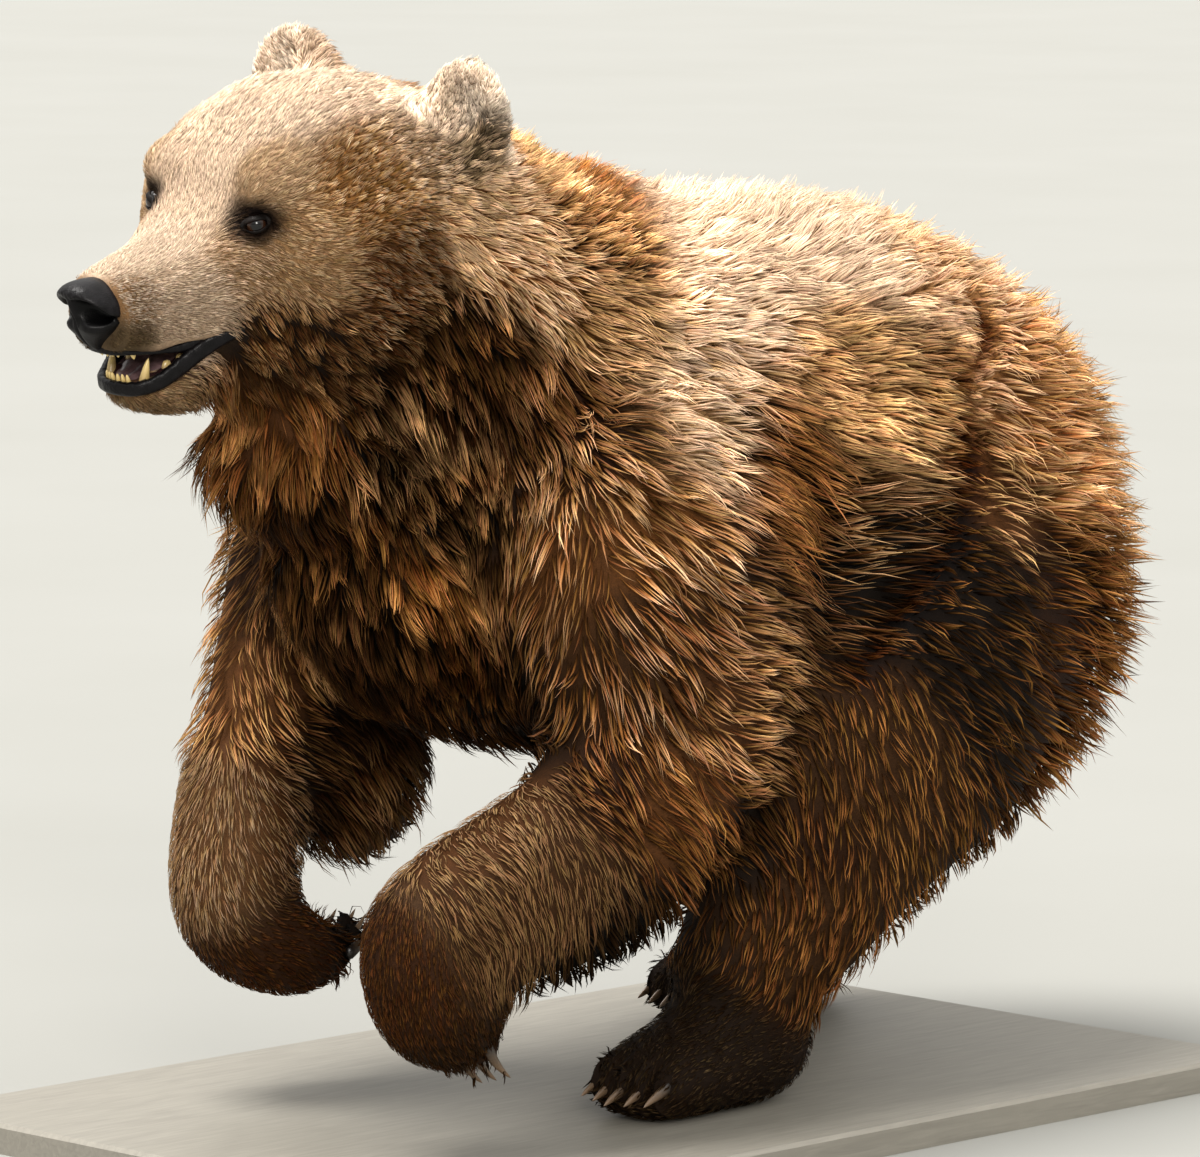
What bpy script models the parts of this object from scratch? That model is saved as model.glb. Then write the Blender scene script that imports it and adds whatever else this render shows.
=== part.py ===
"""A European brown bear at a gallop, as a still life-size museum model on a flat base.

The bear faces -Y, its left side is +X and up is +Z. The origin is the centre of the base's underside.
Points of the body are written (forward, left, up) in metres, with up measured from the top of the base.
Every form is the outline of the coat, out to the tips of the hair.
"""

import math

import bmesh
import bpy
import numpy as np
from mathutils import Matrix, Vector

# ---------------------------------------------------------------- driving dimensions, metres
BASE_LENGTH = 1.16
BASE_WIDTH = 0.74
BASE_THICKNESS = 0.03
BASE_CORNER = 0.06
BASE_EDGE = 0.004
FORWARD_SHIFT = -0.02  # slides the bear along the base, so that it stands over its middle
LEFT_SHIFT = -0.02

GAP = 0.0004  # between touching solids
LIMB_GAP = 0.0010  # a limb's region has sloping sides, so its gap is wider
VOXEL = 0.0095  # of the skin that joins the forms
RING = 28  # corners of a body section
SPAN = 5  # sections between two stations
FULLNESS = 0.92  # below 1 a section is fuller than an ellipse
BODY_TRIANGLES = 4200
SOFTEN = 0.5  # how far one pass of smoothing moves a point
SOFTEN_ALL = 5  # passes over the whole skin
SOFTEN_BODY = 34  # more passes behind the head and under the throat
REGION_RING = 10  # corners of a region's section
REGION_SCALE = 1.06  # a region's section over the limb's
MARGIN = 0.012  # how far a region that takes a limb stands clear of it
OVERRUN = 0.06  # how far a region runs on past the limb's last station

HEAD_SEAT = (0.292, 0.0, 0.872)  # where the head meets the neck
HEAD_PITCH = math.radians(8)
HEAD_ROLL = math.radians(6)
SOLE = 0.0006  # the feet stop this far above the base


# ---------------------------------------------------------------- frames
def world(forward, left, up):
    return Vector((left + LEFT_SHIFT, -(forward + FORWARD_SHIFT), up + BASE_THICKNESS))


def head_axes():
    """The head's own directions (along, across, above) in world space."""
    turn = Matrix.Rotation(HEAD_PITCH, 3, "X") @ Matrix.Rotation(HEAD_ROLL, 3, "Y")
    return turn @ Vector((0, -1, 0)), turn @ Vector((1, 0, 0)), turn @ Vector((0, 0, 1))


def head_point(along, across, above):
    a, b, c = head_axes()
    return world(*HEAD_SEAT) + a * along + b * across + c * above


# ---------------------------------------------------------------- modelling tools
def collection(name):
    made = bpy.data.collections.new(name)
    bpy.context.scene.collection.children.link(made)
    return made


def new_object(name, mesh, where):
    obj = bpy.data.objects.new(name, mesh)
    where.objects.link(obj)
    return obj


def smooth_row(rows, span):
    """Catmull-Rom rows between the given ones, the ends kept."""
    rows = np.array(rows, float)
    padded = np.vstack([2 * rows[0] - rows[1], rows, 2 * rows[-1] - rows[-2]])
    out = []
    for i in range(1, len(padded) - 2):
        p0, p1, p2, p3 = padded[i - 1 : i + 3]
        for k in range(span):
            t = k / span
            out.append(
                0.5 * (2 * p1 + (p2 - p0) * t + (2 * p0 - 5 * p1 + 4 * p2 - p3) * t**2
                       + (3 * p1 - p0 - 3 * p2 + p3) * t**3)
            )
    out.append(padded[-2])
    return np.array(out)


def loft_mesh(name, centres, sides, tops, widths, heights):
    """A closed skin through elliptical sections, with domed ends."""
    bm = bmesh.new()
    rings = []
    for centre, side, top, w, h in zip(centres, sides, tops, widths, heights):
        ring = []
        for k in range(RING):
            angle = 2 * math.pi * k / RING
            across = math.copysign(abs(math.cos(angle)) ** FULLNESS, math.cos(angle))
            above = math.copysign(abs(math.sin(angle)) ** FULLNESS, math.sin(angle))
            ring.append(bm.verts.new(centre + side * (w * across) + top * (h * above)))
        rings.append(ring)
    for first, second in zip(rings, rings[1:]):
        for k in range(RING):
            n = (k + 1) % RING
            bm.faces.new((first[k], first[n], second[n], second[k]))
    bm.faces.new(list(reversed(rings[0])))
    bm.faces.new(rings[-1])
    bmesh.ops.recalc_face_normals(bm, faces=bm.faces)
    mesh = bpy.data.meshes.new(name)
    bm.to_mesh(mesh)
    bm.free()
    return mesh


def body_loft(name, stations, where):
    """Stations are (forward, left, up, half width, half depth). A section lies across the path,
    its width along the body's left."""
    rows = smooth_row(stations, SPAN)
    centres = [world(*row[:3]) for row in rows]
    sides, tops = [], []
    for i in range(len(centres)):
        run = (centres[min(i + 1, len(centres) - 1)] - centres[max(i - 1, 0)]).normalized()
        left = Vector((1, 0, 0))
        side = (left - run * left.dot(run)).normalized()
        sides.append(side)
        tops.append(side.cross(run))
    return new_object(name, loft_mesh(name, centres, sides, tops, rows[:, 3], rows[:, 4]), where)


def head_loft(name, stations, where):
    """Stations are (along, top, bottom, half width), in the head's own frame."""
    _, across, above = head_axes()
    rows = smooth_row(stations, SPAN)
    centres = [head_point(row[0], 0, (row[1] + row[2]) / 2) for row in rows]
    count = len(rows)
    return new_object(
        name,
        loft_mesh(name, centres, [across] * count, [above] * count, rows[:, 3], (rows[:, 1] - rows[:, 2]) / 2),
        where,
    )


def blob(name, centre, axes, radii, where, segments=24):
    """An ellipsoid with its radii along the given directions."""
    bm = bmesh.new()
    bmesh.ops.create_uvsphere(bm, u_segments=segments, v_segments=segments // 2, radius=1)
    turn = Matrix((axes[0], axes[1], axes[2])).transposed()
    for vert in bm.verts:
        vert.co = centre + turn @ Vector(v * r for v, r in zip(vert.co, radii))
    bmesh.ops.recalc_face_normals(bm, faces=bm.faces)
    mesh = bpy.data.meshes.new(name)
    bm.to_mesh(mesh)
    bm.free()
    return new_object(name, mesh, where)


def body_blob(name, at, radii, where, pitch=0.0):
    """An ellipsoid of the body, its radii forward, left and up, pitched nose down."""
    turn = Matrix.Rotation(pitch, 3, "X")
    axes = (turn @ Vector((0, -1, 0)), Vector((1, 0, 0)), turn @ Vector((0, 0, 1)))
    return blob(name, world(*at), axes, radii, where)


def head_blob(name, at, radii, where, segments=24):
    return blob(name, head_point(*at), head_axes(), radii, where, segments)


def baked(obj, name, where):
    """The object's evaluated mesh as a new object; the old one is removed."""
    graph = bpy.context.evaluated_depsgraph_get()
    mesh = bpy.data.meshes.new_from_object(obj.evaluated_get(graph))
    mesh.transform(obj.matrix_world)
    bpy.data.objects.remove(obj)
    mesh.name = name
    return new_object(name, mesh, where)


def joined(name, objects, where):
    """One object that holds the meshes of all of these."""
    bm = bmesh.new()
    for obj in objects:
        bm.from_mesh(obj.data)
        bpy.data.objects.remove(obj)
    mesh = bpy.data.meshes.new(name)
    bm.to_mesh(mesh)
    bm.free()
    return new_object(name, mesh, where)


def boolean(obj, cutter, operation):
    modifier = obj.modifiers.new(operation.lower(), "BOOLEAN")
    modifier.operation = operation
    modifier.solver = "EXACT"
    modifier.object = cutter
    return modifier


# ---------------------------------------------------------------- the body's stations
# Each row is (forward, left, up, half width, half depth).
TRUNK = [
    (-0.585, 0, 0.480, 0.060, 0.090),
    (-0.545, 0, 0.520, 0.175, 0.170),
    (-0.450, 0, 0.575, 0.236, 0.208),
    (-0.330, 0, 0.620, 0.270, 0.240),
    (-0.180, 0, 0.640, 0.285, 0.254),
    (-0.040, 0, 0.628, 0.272, 0.266),
    (0.080, 0, 0.620, 0.255, 0.285),
    (0.190, 0, 0.628, 0.235, 0.268),
    (0.300, 0, 0.648, 0.180, 0.215),
    (0.365, 0, 0.660, 0.090, 0.110),
]
NECK = [
    (-0.020, 0, 0.700, 0.180, 0.180),
    (0.100, 0, 0.730, 0.215, 0.194),
    (0.210, 0, 0.770, 0.205, 0.194),
    (0.300, 0, 0.820, 0.190, 0.186),
    (0.370, 0, 0.850, 0.150, 0.160),
]
LEFT_FORELEG = [
    (0.060, 0.175, 0.690, 0.080, 0.130),
    (0.108, 0.200, 0.590, 0.110, 0.180),
    (0.134, 0.217, 0.482, 0.112, 0.168),
    (0.156, 0.230, 0.360, 0.100, 0.132),
    (0.250, 0.225, 0.274, 0.088, 0.112),
    (0.351, 0.210, 0.238, 0.080, 0.094),
    (0.412, 0.200, 0.212, 0.075, 0.085),
    (0.418, 0.197, 0.158, 0.073, 0.070),
    (0.393, 0.196, 0.115, 0.067, 0.052),
    (0.378, 0.196, 0.097, 0.046, 0.030),
]
RIGHT_FORELEG = [
    (0.090, -0.165, 0.690, 0.080, 0.120),
    (0.130, -0.190, 0.610, 0.100, 0.145),
    (0.180, -0.198, 0.520, 0.098, 0.135),
    (0.236, -0.190, 0.430, 0.085, 0.112),
    (0.298, -0.178, 0.330, 0.074, 0.084),
    (0.342, -0.168, 0.240, 0.068, 0.070),
    (0.344, -0.162, 0.185, 0.068, 0.064),
    (0.296, -0.160, 0.145, 0.068, 0.052),
    (0.245, -0.160, 0.138, 0.062, 0.042),
    (0.205, -0.160, 0.142, 0.042, 0.026),
]
LEFT_HINDLEG = [
    (-0.400, 0.120, 0.620, 0.110, 0.170),
    (-0.350, 0.165, 0.530, 0.125, 0.225),
    (-0.250, 0.205, 0.430, 0.125, 0.225),
    (-0.145, 0.228, 0.340, 0.112, 0.195),
    (-0.070, 0.222, 0.240, 0.092, 0.145),
    (-0.010, 0.208, 0.150, 0.078, 0.108),
    (0.005, 0.200, 0.095, 0.070, 0.080),
]
RIGHT_HINDLEG = [
    (-0.400, -0.120, 0.620, 0.110, 0.170),
    (-0.370, -0.160, 0.530, 0.120, 0.215),
    (-0.320, -0.182, 0.430, 0.118, 0.195),
    (-0.315, -0.180, 0.330, 0.102, 0.155),
    (-0.365, -0.165, 0.230, 0.084, 0.110),
    (-0.420, -0.155, 0.140, 0.074, 0.086),
    (-0.435, -0.150, 0.090, 0.066, 0.070),
]
LEFT_FOOT = [
    (-0.072, 0.202, 0.052, 0.045, 0.046),
    (-0.020, 0.200, 0.058, 0.064, 0.066),
    (0.060, 0.198, 0.047, 0.068, 0.058),
    (0.130, 0.198, 0.035, 0.070, 0.046),
    (0.175, 0.198, 0.026, 0.058, 0.034),
]
RIGHT_FOOT = [
    (-0.502, -0.150, 0.052, 0.045, 0.046),
    (-0.450, -0.150, 0.058, 0.064, 0.066),
    (-0.370, -0.150, 0.047, 0.068, 0.058),
    (-0.300, -0.150, 0.035, 0.070, 0.046),
    (-0.255, -0.150, 0.026, 0.058, 0.034),
]
TAIL = [
    (-0.540, 0, 0.650, 0.050, 0.060),
    (-0.610, 0, 0.622, 0.046, 0.048),
    (-0.655, 0, 0.580, 0.042, 0.040),
    (-0.676, 0, 0.535, 0.026, 0.022),
]

# Each row is (along, top, bottom, half width), in the head's own frame.
CRANIUM = [
    (-0.095, 0.098, -0.150, 0.120),
    (-0.050, 0.137, -0.180, 0.160),
    (0.030, 0.159, -0.184, 0.178),
    (0.100, 0.170, -0.172, 0.180),
    (0.150, 0.165, -0.158, 0.169),
    (0.190, 0.147, -0.142, 0.149),
    (0.220, 0.116, -0.126, 0.119),
    (0.250, 0.079, -0.104, 0.087),
    (0.300, 0.051, -0.070, 0.063),
    (0.350, 0.040, -0.058, 0.051),
    (0.390, 0.029, -0.052, 0.042),
    (0.405, 0.018, -0.038, 0.031),
]
JAW = [
    (0.080, -0.060, -0.170, 0.090),
    (0.160, -0.070, -0.158, 0.076),
    (0.230, -0.060, -0.142, 0.058),
    (0.300, -0.054, -0.124, 0.046),
    (0.341, -0.066, -0.111, 0.037),
    (0.361, -0.076, -0.101, 0.023),
]

# The rest of the head, (along, across, above) its axis. The left side's are given, and the right side mirrors them.
EAR_AT = (-0.003, 0.114, 0.123)
EAR_WIDTHS = {1: 0.053, -1: 0.068}  # the right ear is turned further out
EAR_SEAT = (-0.005, 0.115, 0.094)  # the middle of the cut under an ear
EAR_LEAN = 0.30
EAR_REGION = (0.046, 0.076, 0.075)
EAR_CUP = (0.026, 0.030, 0.042)
EAR_CUP_RISE = 0.052
EAR_CUP_FORWARD = 0.031
EYE_AT = (0.2330, 0.0700, 0.0610)
EYE_RADIUS = 0.0115
EYE_CLEARANCE = 0.0008  # between an eye and its socket
ORBIT_RADIUS = 0.0185  # of the hollow in front of an eye
ORBIT_STEP = 0.0145  # from the eye's centre to the hollow's
GAZE = (0.72, 0.68, 0.10)
NOSE_PLANE = 0.386
NOSE_LEAN = 0.010
NOSE_FLOOR = -0.0575
NOSTRIL_AT = (0.409, 0.019, -0.003)
NOSTRIL_RADII = (0.016, 0.010, 0.011)
MUZZLE_END = 0.460  # in front of everything on the head
MOUTH_CORNER = (0.262, -0.045)
LIP_TOP = (0.450, -0.043)
LIP_BOTTOM = (0.450, -0.112)
JAW_BACK = 0.281
JAW_LEAN = 0.04
JAW_TOPS = (-0.0490, -0.082)  # of the cut's back and front
JAW_FLOOR = -0.152
CANINE_AT = (0.342, 0.021, -0.077)
CANINE_SIZE = (0.030, 0.0065)  # length and radius
INCISOR_AT = (0.360, -0.080)
INCISOR_PITCH = 0.0085
INCISOR_SIZE = (0.015, 0.0046)

# Cutting faces that part the head from the neck and the neck from the trunk: the seat and the lean back.
HEAD_CUT = ((0.350, 0, 0.848), math.radians(32), (0.55, 0.30, 0.31))
NECK_CUT = ((0.262, 0, 0.782), math.radians(46), (0.55, 0.32, 0.32))
TAIL_ROOT = (-0.618, 0, 0.618, 0.070, 0.070)  # the first station of the tail's region

# The middle of a toe row, the way its claws point, and their length.
CLAW_ROWS = {
    "left_forepaw": ((0.383, 0.196, 0.088), (-0.35, 0, -0.94), 0.050),
    "right_forepaw": ((0.212, -0.160, 0.146), (-0.95, 0, 0.30), 0.050),
    "left_hindpaw": ((0.168, 0.198, 0.032), (0.97, 0, -0.22), 0.040),
    "right_hindpaw": ((-0.262, -0.150, 0.032), (0.97, 0, -0.22), 0.040),
}
CLAW_PITCH = 0.0215
CLAW_RADIUS = 0.0065


# ---------------------------------------------------------------- regions that part the body
def coarse_loft(name, stations, grow, where):
    """A plain ten-sided region round a limb's stations, standing clear of it."""
    bm = bmesh.new()
    rings = []
    rows = np.array(stations, float)
    centres = [world(*row[:3]) for row in rows]
    for i, centre in enumerate(centres):
        run = (centres[min(i + 1, len(centres) - 1)] - centres[max(i - 1, 0)]).normalized()
        left = Vector((1, 0, 0))
        side = (left - run * left.dot(run)).normalized()
        top = side.cross(run)
        middle = centre + (run * OVERRUN if i == len(centres) - 1 else Vector())
        w = rows[i][3] * REGION_SCALE + MARGIN
        h = rows[i][4] * REGION_SCALE + MARGIN
        ring = []
        for k in range(REGION_RING):
            angle = 2 * math.pi * (k + 0.5) / REGION_RING
            ring.append(bm.verts.new(middle + side * (w * math.cos(angle)) + top * (h * math.sin(angle))))
        rings.append(ring)
    for first, second in zip(rings, rings[1:]):
        for k in range(REGION_RING):
            n = (k + 1) % REGION_RING
            bm.faces.new((first[k], first[n], second[n]))
            bm.faces.new((first[k], second[n], second[k]))
    bm.faces.new(list(reversed(rings[0])))
    bm.faces.new(rings[-1])
    bmesh.ops.triangulate(bm, faces=bm.faces)
    bmesh.ops.recalc_face_normals(bm, faces=bm.faces)
    bm.normal_update()
    outward = [vert.normal * grow for vert in bm.verts]
    for vert, step in zip(bm.verts, outward):
        vert.co += step
    mesh = bpy.data.meshes.new(name)
    bm.to_mesh(mesh)
    bm.free()
    return new_object(name, mesh, where)


def block(name, centre, axes, halves, where):
    """A box with its half sizes along three directions."""
    bm = bmesh.new()
    bmesh.ops.create_cube(bm, size=2)
    turn = Matrix((axes[0], axes[1], axes[2])).transposed()
    for vert in bm.verts:
        vert.co = centre + turn @ Vector(v * h for v, h in zip(vert.co, halves))
    bmesh.ops.recalc_face_normals(bm, faces=bm.faces)
    mesh = bpy.data.meshes.new(name)
    bm.to_mesh(mesh)
    bm.free()
    return new_object(name, mesh, where)


def front_block(name, cut, grow, where):
    """The box in front of a cutting face, which stands at the cut's seat and leans back."""
    seat, lean, (depth, half_width, half_height) = cut
    turn = Matrix.Rotation(-lean, 3, "X")
    onward, across, above = turn @ Vector((0, -1, 0)), Vector((1, 0, 0)), turn @ Vector((0, 0, 1))
    centre = world(*seat) + onward * (depth / 2 - grow / 2)
    return block(name, centre, (onward, across, above), ((depth + grow) / 2, half_width, half_height), where)


def head_prism(name, profile, half_width, where):
    """A prism across the head with a profile of (along, above) points."""
    bm = bmesh.new()
    sides = []
    for across in (-half_width, half_width):
        sides.append([bm.verts.new(head_point(a, across, c)) for a, c in profile])
    bm.faces.new(sides[0])
    bm.faces.new(list(reversed(sides[1])))
    count = len(profile)
    for k in range(count):
        n = (k + 1) % count
        bm.faces.new((sides[0][k], sides[0][n], sides[1][n], sides[1][k]))
    bmesh.ops.recalc_face_normals(bm, faces=bm.faces)
    mesh = bpy.data.meshes.new(name)
    bm.to_mesh(mesh)
    bm.free()
    return new_object(name, mesh, where)


def largest_only(obj):
    """Keeps the largest loose part of a cut mesh."""
    bm = bmesh.new()
    bm.from_mesh(obj.data)
    bmesh.ops.remove_doubles(bm, verts=bm.verts, dist=0.000002)
    left = set(bm.verts)
    parts = []
    while left:
        start = left.pop()
        stack = [start]
        part = {start}
        while stack:
            for edge in stack.pop().link_edges:
                for vert in edge.verts:
                    if vert in left:
                        left.discard(vert)
                        part.add(vert)
                        stack.append(vert)
        parts.append(part)
    parts.sort(key=len)
    for part in parts[:-1]:
        bmesh.ops.delete(bm, geom=list(part), context="VERTS")
    bmesh.ops.triangulate(bm, faces=bm.faces)
    bm.to_mesh(obj.data)
    bm.free()
    return obj


def split(rest, name, region, grown, where):
    """Takes the part of rest inside a region as a node of its own. Returns (node, what is left)."""
    piece = new_object(name + "_cut", rest.data.copy(), where)
    boolean(piece, region, "INTERSECT")
    piece = largest_only(baked(piece, name, where))
    boolean(rest, grown, "DIFFERENCE")
    kept = rest.name
    rest = largest_only(baked(rest, kept + "_rest", where))
    rest.name = kept
    for helper in (region, grown):
        bpy.data.objects.remove(helper)
    return piece, rest


def carve(obj, cutters):
    """Cuts every cutter out of an object and removes the cutters."""
    kept = obj.name
    where = obj.users_collection[0]
    for cutter in cutters:
        boolean(obj, cutter, "DIFFERENCE")
    obj = largest_only(baked(obj, kept + "_carved", where))
    for cutter in cutters:
        bpy.data.objects.remove(cutter)
    obj.name = kept
    return obj


def grown_from(obj, spurs):
    """Unites teeth or claws with what they grow from."""
    kept = obj.name
    where = obj.users_collection[0]
    for spur in spurs:
        boolean(obj, spur, "UNION")
    obj = largest_only(baked(obj, kept + "_whole", where))
    for spur in spurs:
        bpy.data.objects.remove(spur)
    obj.name = kept
    return obj


# ---------------------------------------------------------------- horn and tooth
def spur(name, base, onward, bend, length, radius, where):
    """A curved cone from base along a direction, bending towards another."""
    rings = 4
    sides = 6
    bm = bmesh.new()
    rows = []
    side = onward.cross(bend).normalized()
    for i in range(rings):
        t = i / rings
        centre = base + onward * (length * (t - 0.35)) + bend * (length * 0.45 * max(t, 0) ** 2)
        run = (onward + bend * (0.9 * t)).normalized()
        up = run.cross(side)
        r = radius * (1 - 0.75 * t**1.5)
        ring = []
        for k in range(sides):
            angle = 2 * math.pi * k / sides
            ring.append(bm.verts.new(centre + side * (r * 0.75 * math.cos(angle)) + up * (r * math.sin(angle))))
        rows.append(ring)
    tip = bm.verts.new(base + onward * (length * 0.65) + bend * (length * 0.45))
    for first, second in zip(rows, rows[1:]):
        for k in range(sides):
            n = (k + 1) % sides
            bm.faces.new((first[k], first[n], second[n], second[k]))
    for k in range(sides):
        bm.faces.new((rows[-1][k], rows[-1][(k + 1) % sides], tip))
    bm.faces.new(list(reversed(rows[0])))
    bmesh.ops.recalc_face_normals(bm, faces=bm.faces)
    mesh = bpy.data.meshes.new(name)
    bm.to_mesh(mesh)
    bm.free()
    return new_object(name, mesh, where)


def claws_of(name, where):
    (at, way, length) = CLAW_ROWS[name]
    onward = Vector((way[1], -way[0], way[2])).normalized()
    down = Vector((0, 0, -1)) if "hind" in name else onward.cross(Vector((1, 0, 0))) * -1
    made = []
    for k in range(-2, 3):
        base = world(at[0], at[1] + k * CLAW_PITCH, at[2]) - onward * (0.006 * abs(k))
        bend = down * (0.35 if "hind" in name else 0.8)
        made.append(spur("claw", base, onward, bend, length, CLAW_RADIUS, where))
    return made


# ---------------------------------------------------------------- the base
def stand_base(where):
    """A flat board with round corners and a small chamfer round its top."""
    bm = bmesh.new()
    bmesh.ops.create_cube(bm, size=1)
    for vert in bm.verts:
        vert.co.x *= BASE_WIDTH
        vert.co.y *= BASE_LENGTH
        vert.co.z = BASE_THICKNESS * (vert.co.z + 0.5)
    uprights = [edge for edge in bm.edges if abs(edge.verts[0].co.z - edge.verts[1].co.z) > BASE_THICKNESS / 2]
    bmesh.ops.bevel(bm, geom=uprights, offset=BASE_CORNER, segments=6, profile=0.5, affect="EDGES")
    rim = [edge for edge in bm.edges if min(vert.co.z for vert in edge.verts) > BASE_THICKNESS * 0.9]
    bmesh.ops.bevel(bm, geom=rim, offset=BASE_EDGE, segments=1, profile=0.5, affect="EDGES")
    bmesh.ops.recalc_face_normals(bm, faces=bm.faces)
    mesh = bpy.data.meshes.new("stand_base")
    bm.to_mesh(mesh)
    bm.free()
    return new_object("stand_base", mesh, where)


# ---------------------------------------------------------------- finishes
FINISHES = {
    "blond_coat": (0.52, 0.36, 0.21),
    "brown_coat": (0.26, 0.14, 0.06),
    "dark_coat": (0.09, 0.045, 0.02),
    "nose_skin": (0.02, 0.019, 0.02),
    "eye_gloss": (0.02, 0.01, 0.006),
    "painted_board": (0.55, 0.53, 0.49),
}
FINISH_OF = {
    "head": "blond_coat",
    "left_ear": "blond_coat",
    "right_ear": "blond_coat",
    "lower_jaw": "blond_coat",
    "nose_pad": "nose_skin",
    "left_eye": "eye_gloss",
    "right_eye": "eye_gloss",
    "neck": "brown_coat",
    "trunk": "brown_coat",
    "tail": "brown_coat",
    "left_foreleg": "brown_coat",
    "right_foreleg": "brown_coat",
    "left_hindleg": "brown_coat",
    "right_hindleg": "brown_coat",
    "left_forepaw": "dark_coat",
    "right_forepaw": "dark_coat",
    "left_hindpaw": "dark_coat",
    "right_hindpaw": "dark_coat",
    "stand_base": "painted_board",
}


def finish(obj):
    material = bpy.data.materials.new(obj.name + "_" + FINISH_OF[obj.name])
    material.use_nodes = True
    shader = material.node_tree.nodes["Principled BSDF"]
    shader.inputs["Base Color"].default_value = (*FINISHES[FINISH_OF[obj.name]], 1)
    glossy = FINISH_OF[obj.name] in ("nose_skin", "eye_gloss")
    shader.inputs["Roughness"].default_value = 0.25 if glossy else 0.8
    obj.data.materials.clear()
    obj.data.materials.append(material)
    obj.data.name = obj.name


# ---------------------------------------------------------------- the whole bear
def body_form(helpers):
    """The bear in one skin, before it is parted."""
    pieces = [
        body_loft("trunk_form", TRUNK, helpers),
        body_loft("neck_form", NECK, helpers),
        body_loft("left_foreleg_form", LEFT_FORELEG, helpers),
        body_loft("right_foreleg_form", RIGHT_FORELEG, helpers),
        body_loft("left_hindleg_form", LEFT_HINDLEG, helpers),
        body_loft("right_hindleg_form", RIGHT_HINDLEG, helpers),
        body_loft("left_foot_form", LEFT_FOOT, helpers),
        body_loft("right_foot_form", RIGHT_FOOT, helpers),
        body_loft("tail_form", TAIL, helpers),
        head_loft("cranium_form", CRANIUM, helpers),
        head_loft("jaw_form", JAW, helpers),
        body_blob("hump_form", (0.050, 0, 0.835), (0.130, 0.120, 0.098), helpers),
        body_blob("throat_form", (0.400, 0, 0.660), (0.088, 0.135, 0.095), helpers),
        body_blob("breast_form", (0.325, 0, 0.585), (0.085, 0.150, 0.150), helpers),
        body_blob("right_elbow_form", (0.175, -0.190, 0.345), (0.108, 0.076, 0.136), helpers),
        body_blob("left_haunch_form", (-0.415, 0.125, 0.475), (0.188, 0.147, 0.245), helpers),
        body_blob("right_haunch_form", (-0.415, -0.125, 0.475), (0.188, 0.147, 0.245), helpers),
    ]
    for sign in (1, -1):
        pieces.append(head_blob("cheek_form", (0.100, sign * 0.085, -0.060), (0.110, 0.075, 0.100), helpers))
        pieces.append(head_blob("brow_form", (0.193, sign * 0.062, 0.096), (0.052, 0.040, 0.030), helpers))
        ear_at = (EAR_AT[0], sign * EAR_AT[1], EAR_AT[2])
        pieces.append(head_blob("ear_form", ear_at, (0.031, EAR_WIDTHS[sign], 0.064), helpers))
    form = joined("body_form", pieces, helpers)
    remesh = form.modifiers.new("skin", "REMESH")
    remesh.mode = "VOXEL"
    remesh.voxel_size = VOXEL
    form = baked(form, "body_form", helpers)
    trunk_only = form.vertex_groups.new(name="behind_the_head")
    face = world(0.26, 0, 0).y
    for vert in form.data.vertices:
        behind = (vert.co.y - face) / 0.12
        low = (world(0, 0, 0.62).z - vert.co.z) / 0.05
        trunk_only.add([vert.index], min(1.0, max(0.0, max(behind, low))), "REPLACE")
    everywhere = form.modifiers.new("soften", "SMOOTH")
    everywhere.factor = SOFTEN
    everywhere.iterations = SOFTEN_ALL
    body_soft = form.modifiers.new("soften_body", "SMOOTH")
    body_soft.factor = SOFTEN
    body_soft.iterations = SOFTEN_BODY
    body_soft.vertex_group = trunk_only.name
    thin = form.modifiers.new("thin", "DECIMATE")
    form = baked_thin(form, thin, helpers)
    return form


def baked_thin(form, thin, where):
    """Bakes the form at the number of triangles asked for."""
    graph = bpy.context.evaluated_depsgraph_get()
    thin.show_viewport = False
    thin.show_render = False
    graph.update()
    dense = form.evaluated_get(graph).to_mesh()
    dense.calc_loop_triangles()
    count = len(dense.loop_triangles)
    thin.show_viewport = True
    thin.show_render = True
    thin.ratio = BODY_TRIANGLES / count
    graph.update()
    return baked(form, "body", where)


def take_ears(body, helpers):
    """The two ears, each cut from the head and hollowed in front. Returns (nodes, what is left)."""
    nodes = []
    along, across, above = head_axes()
    for side, sign in (("left", 1), ("right", -1)):
        tilt = (above + across * sign * EAR_LEAN).normalized()
        wide = (across - above * sign * EAR_LEAN).normalized()
        seat = head_point(EAR_SEAT[0], sign * EAR_SEAT[1], EAR_SEAT[2])
        regions = []
        for grow in (0, GAP):
            centre = seat + tilt * (EAR_REGION[2] - grow / 2)
            halves = (EAR_REGION[0] + grow, EAR_REGION[1] + grow, EAR_REGION[2] + grow / 2)
            regions.append(block("ear_region", centre, (along, wide, tilt), halves, helpers))
        ear, body = split(body, side + "_ear", *regions, helpers)
        hollow = seat + tilt * EAR_CUP_RISE + along * EAR_CUP_FORWARD
        nodes.append(carve(ear, [blob("ear_cup", hollow, (along, wide, tilt), EAR_CUP, helpers, 12)]))
    return nodes, body


def take_nose(body, helpers):
    """The nose pad with its nostrils."""
    regions = []
    for grow in (0, GAP):
        back = NOSE_PLANE - grow
        profile = ((back, NOSE_FLOOR), (MUZZLE_END, NOSE_FLOOR), (MUZZLE_END, 0.08), (back - NOSE_LEAN, 0.08))
        regions.append(head_prism("nose_region", profile, 0.08, helpers))
    nose, body = split(body, "nose_pad", *regions, helpers)
    along, across, above = NOSTRIL_AT
    nostrils = [
        head_blob("nostril_cutter", (along, sign * across, above), NOSTRIL_RADII, helpers, 12) for sign in (1, -1)
    ]
    return carve(nose, nostrils), body


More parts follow.
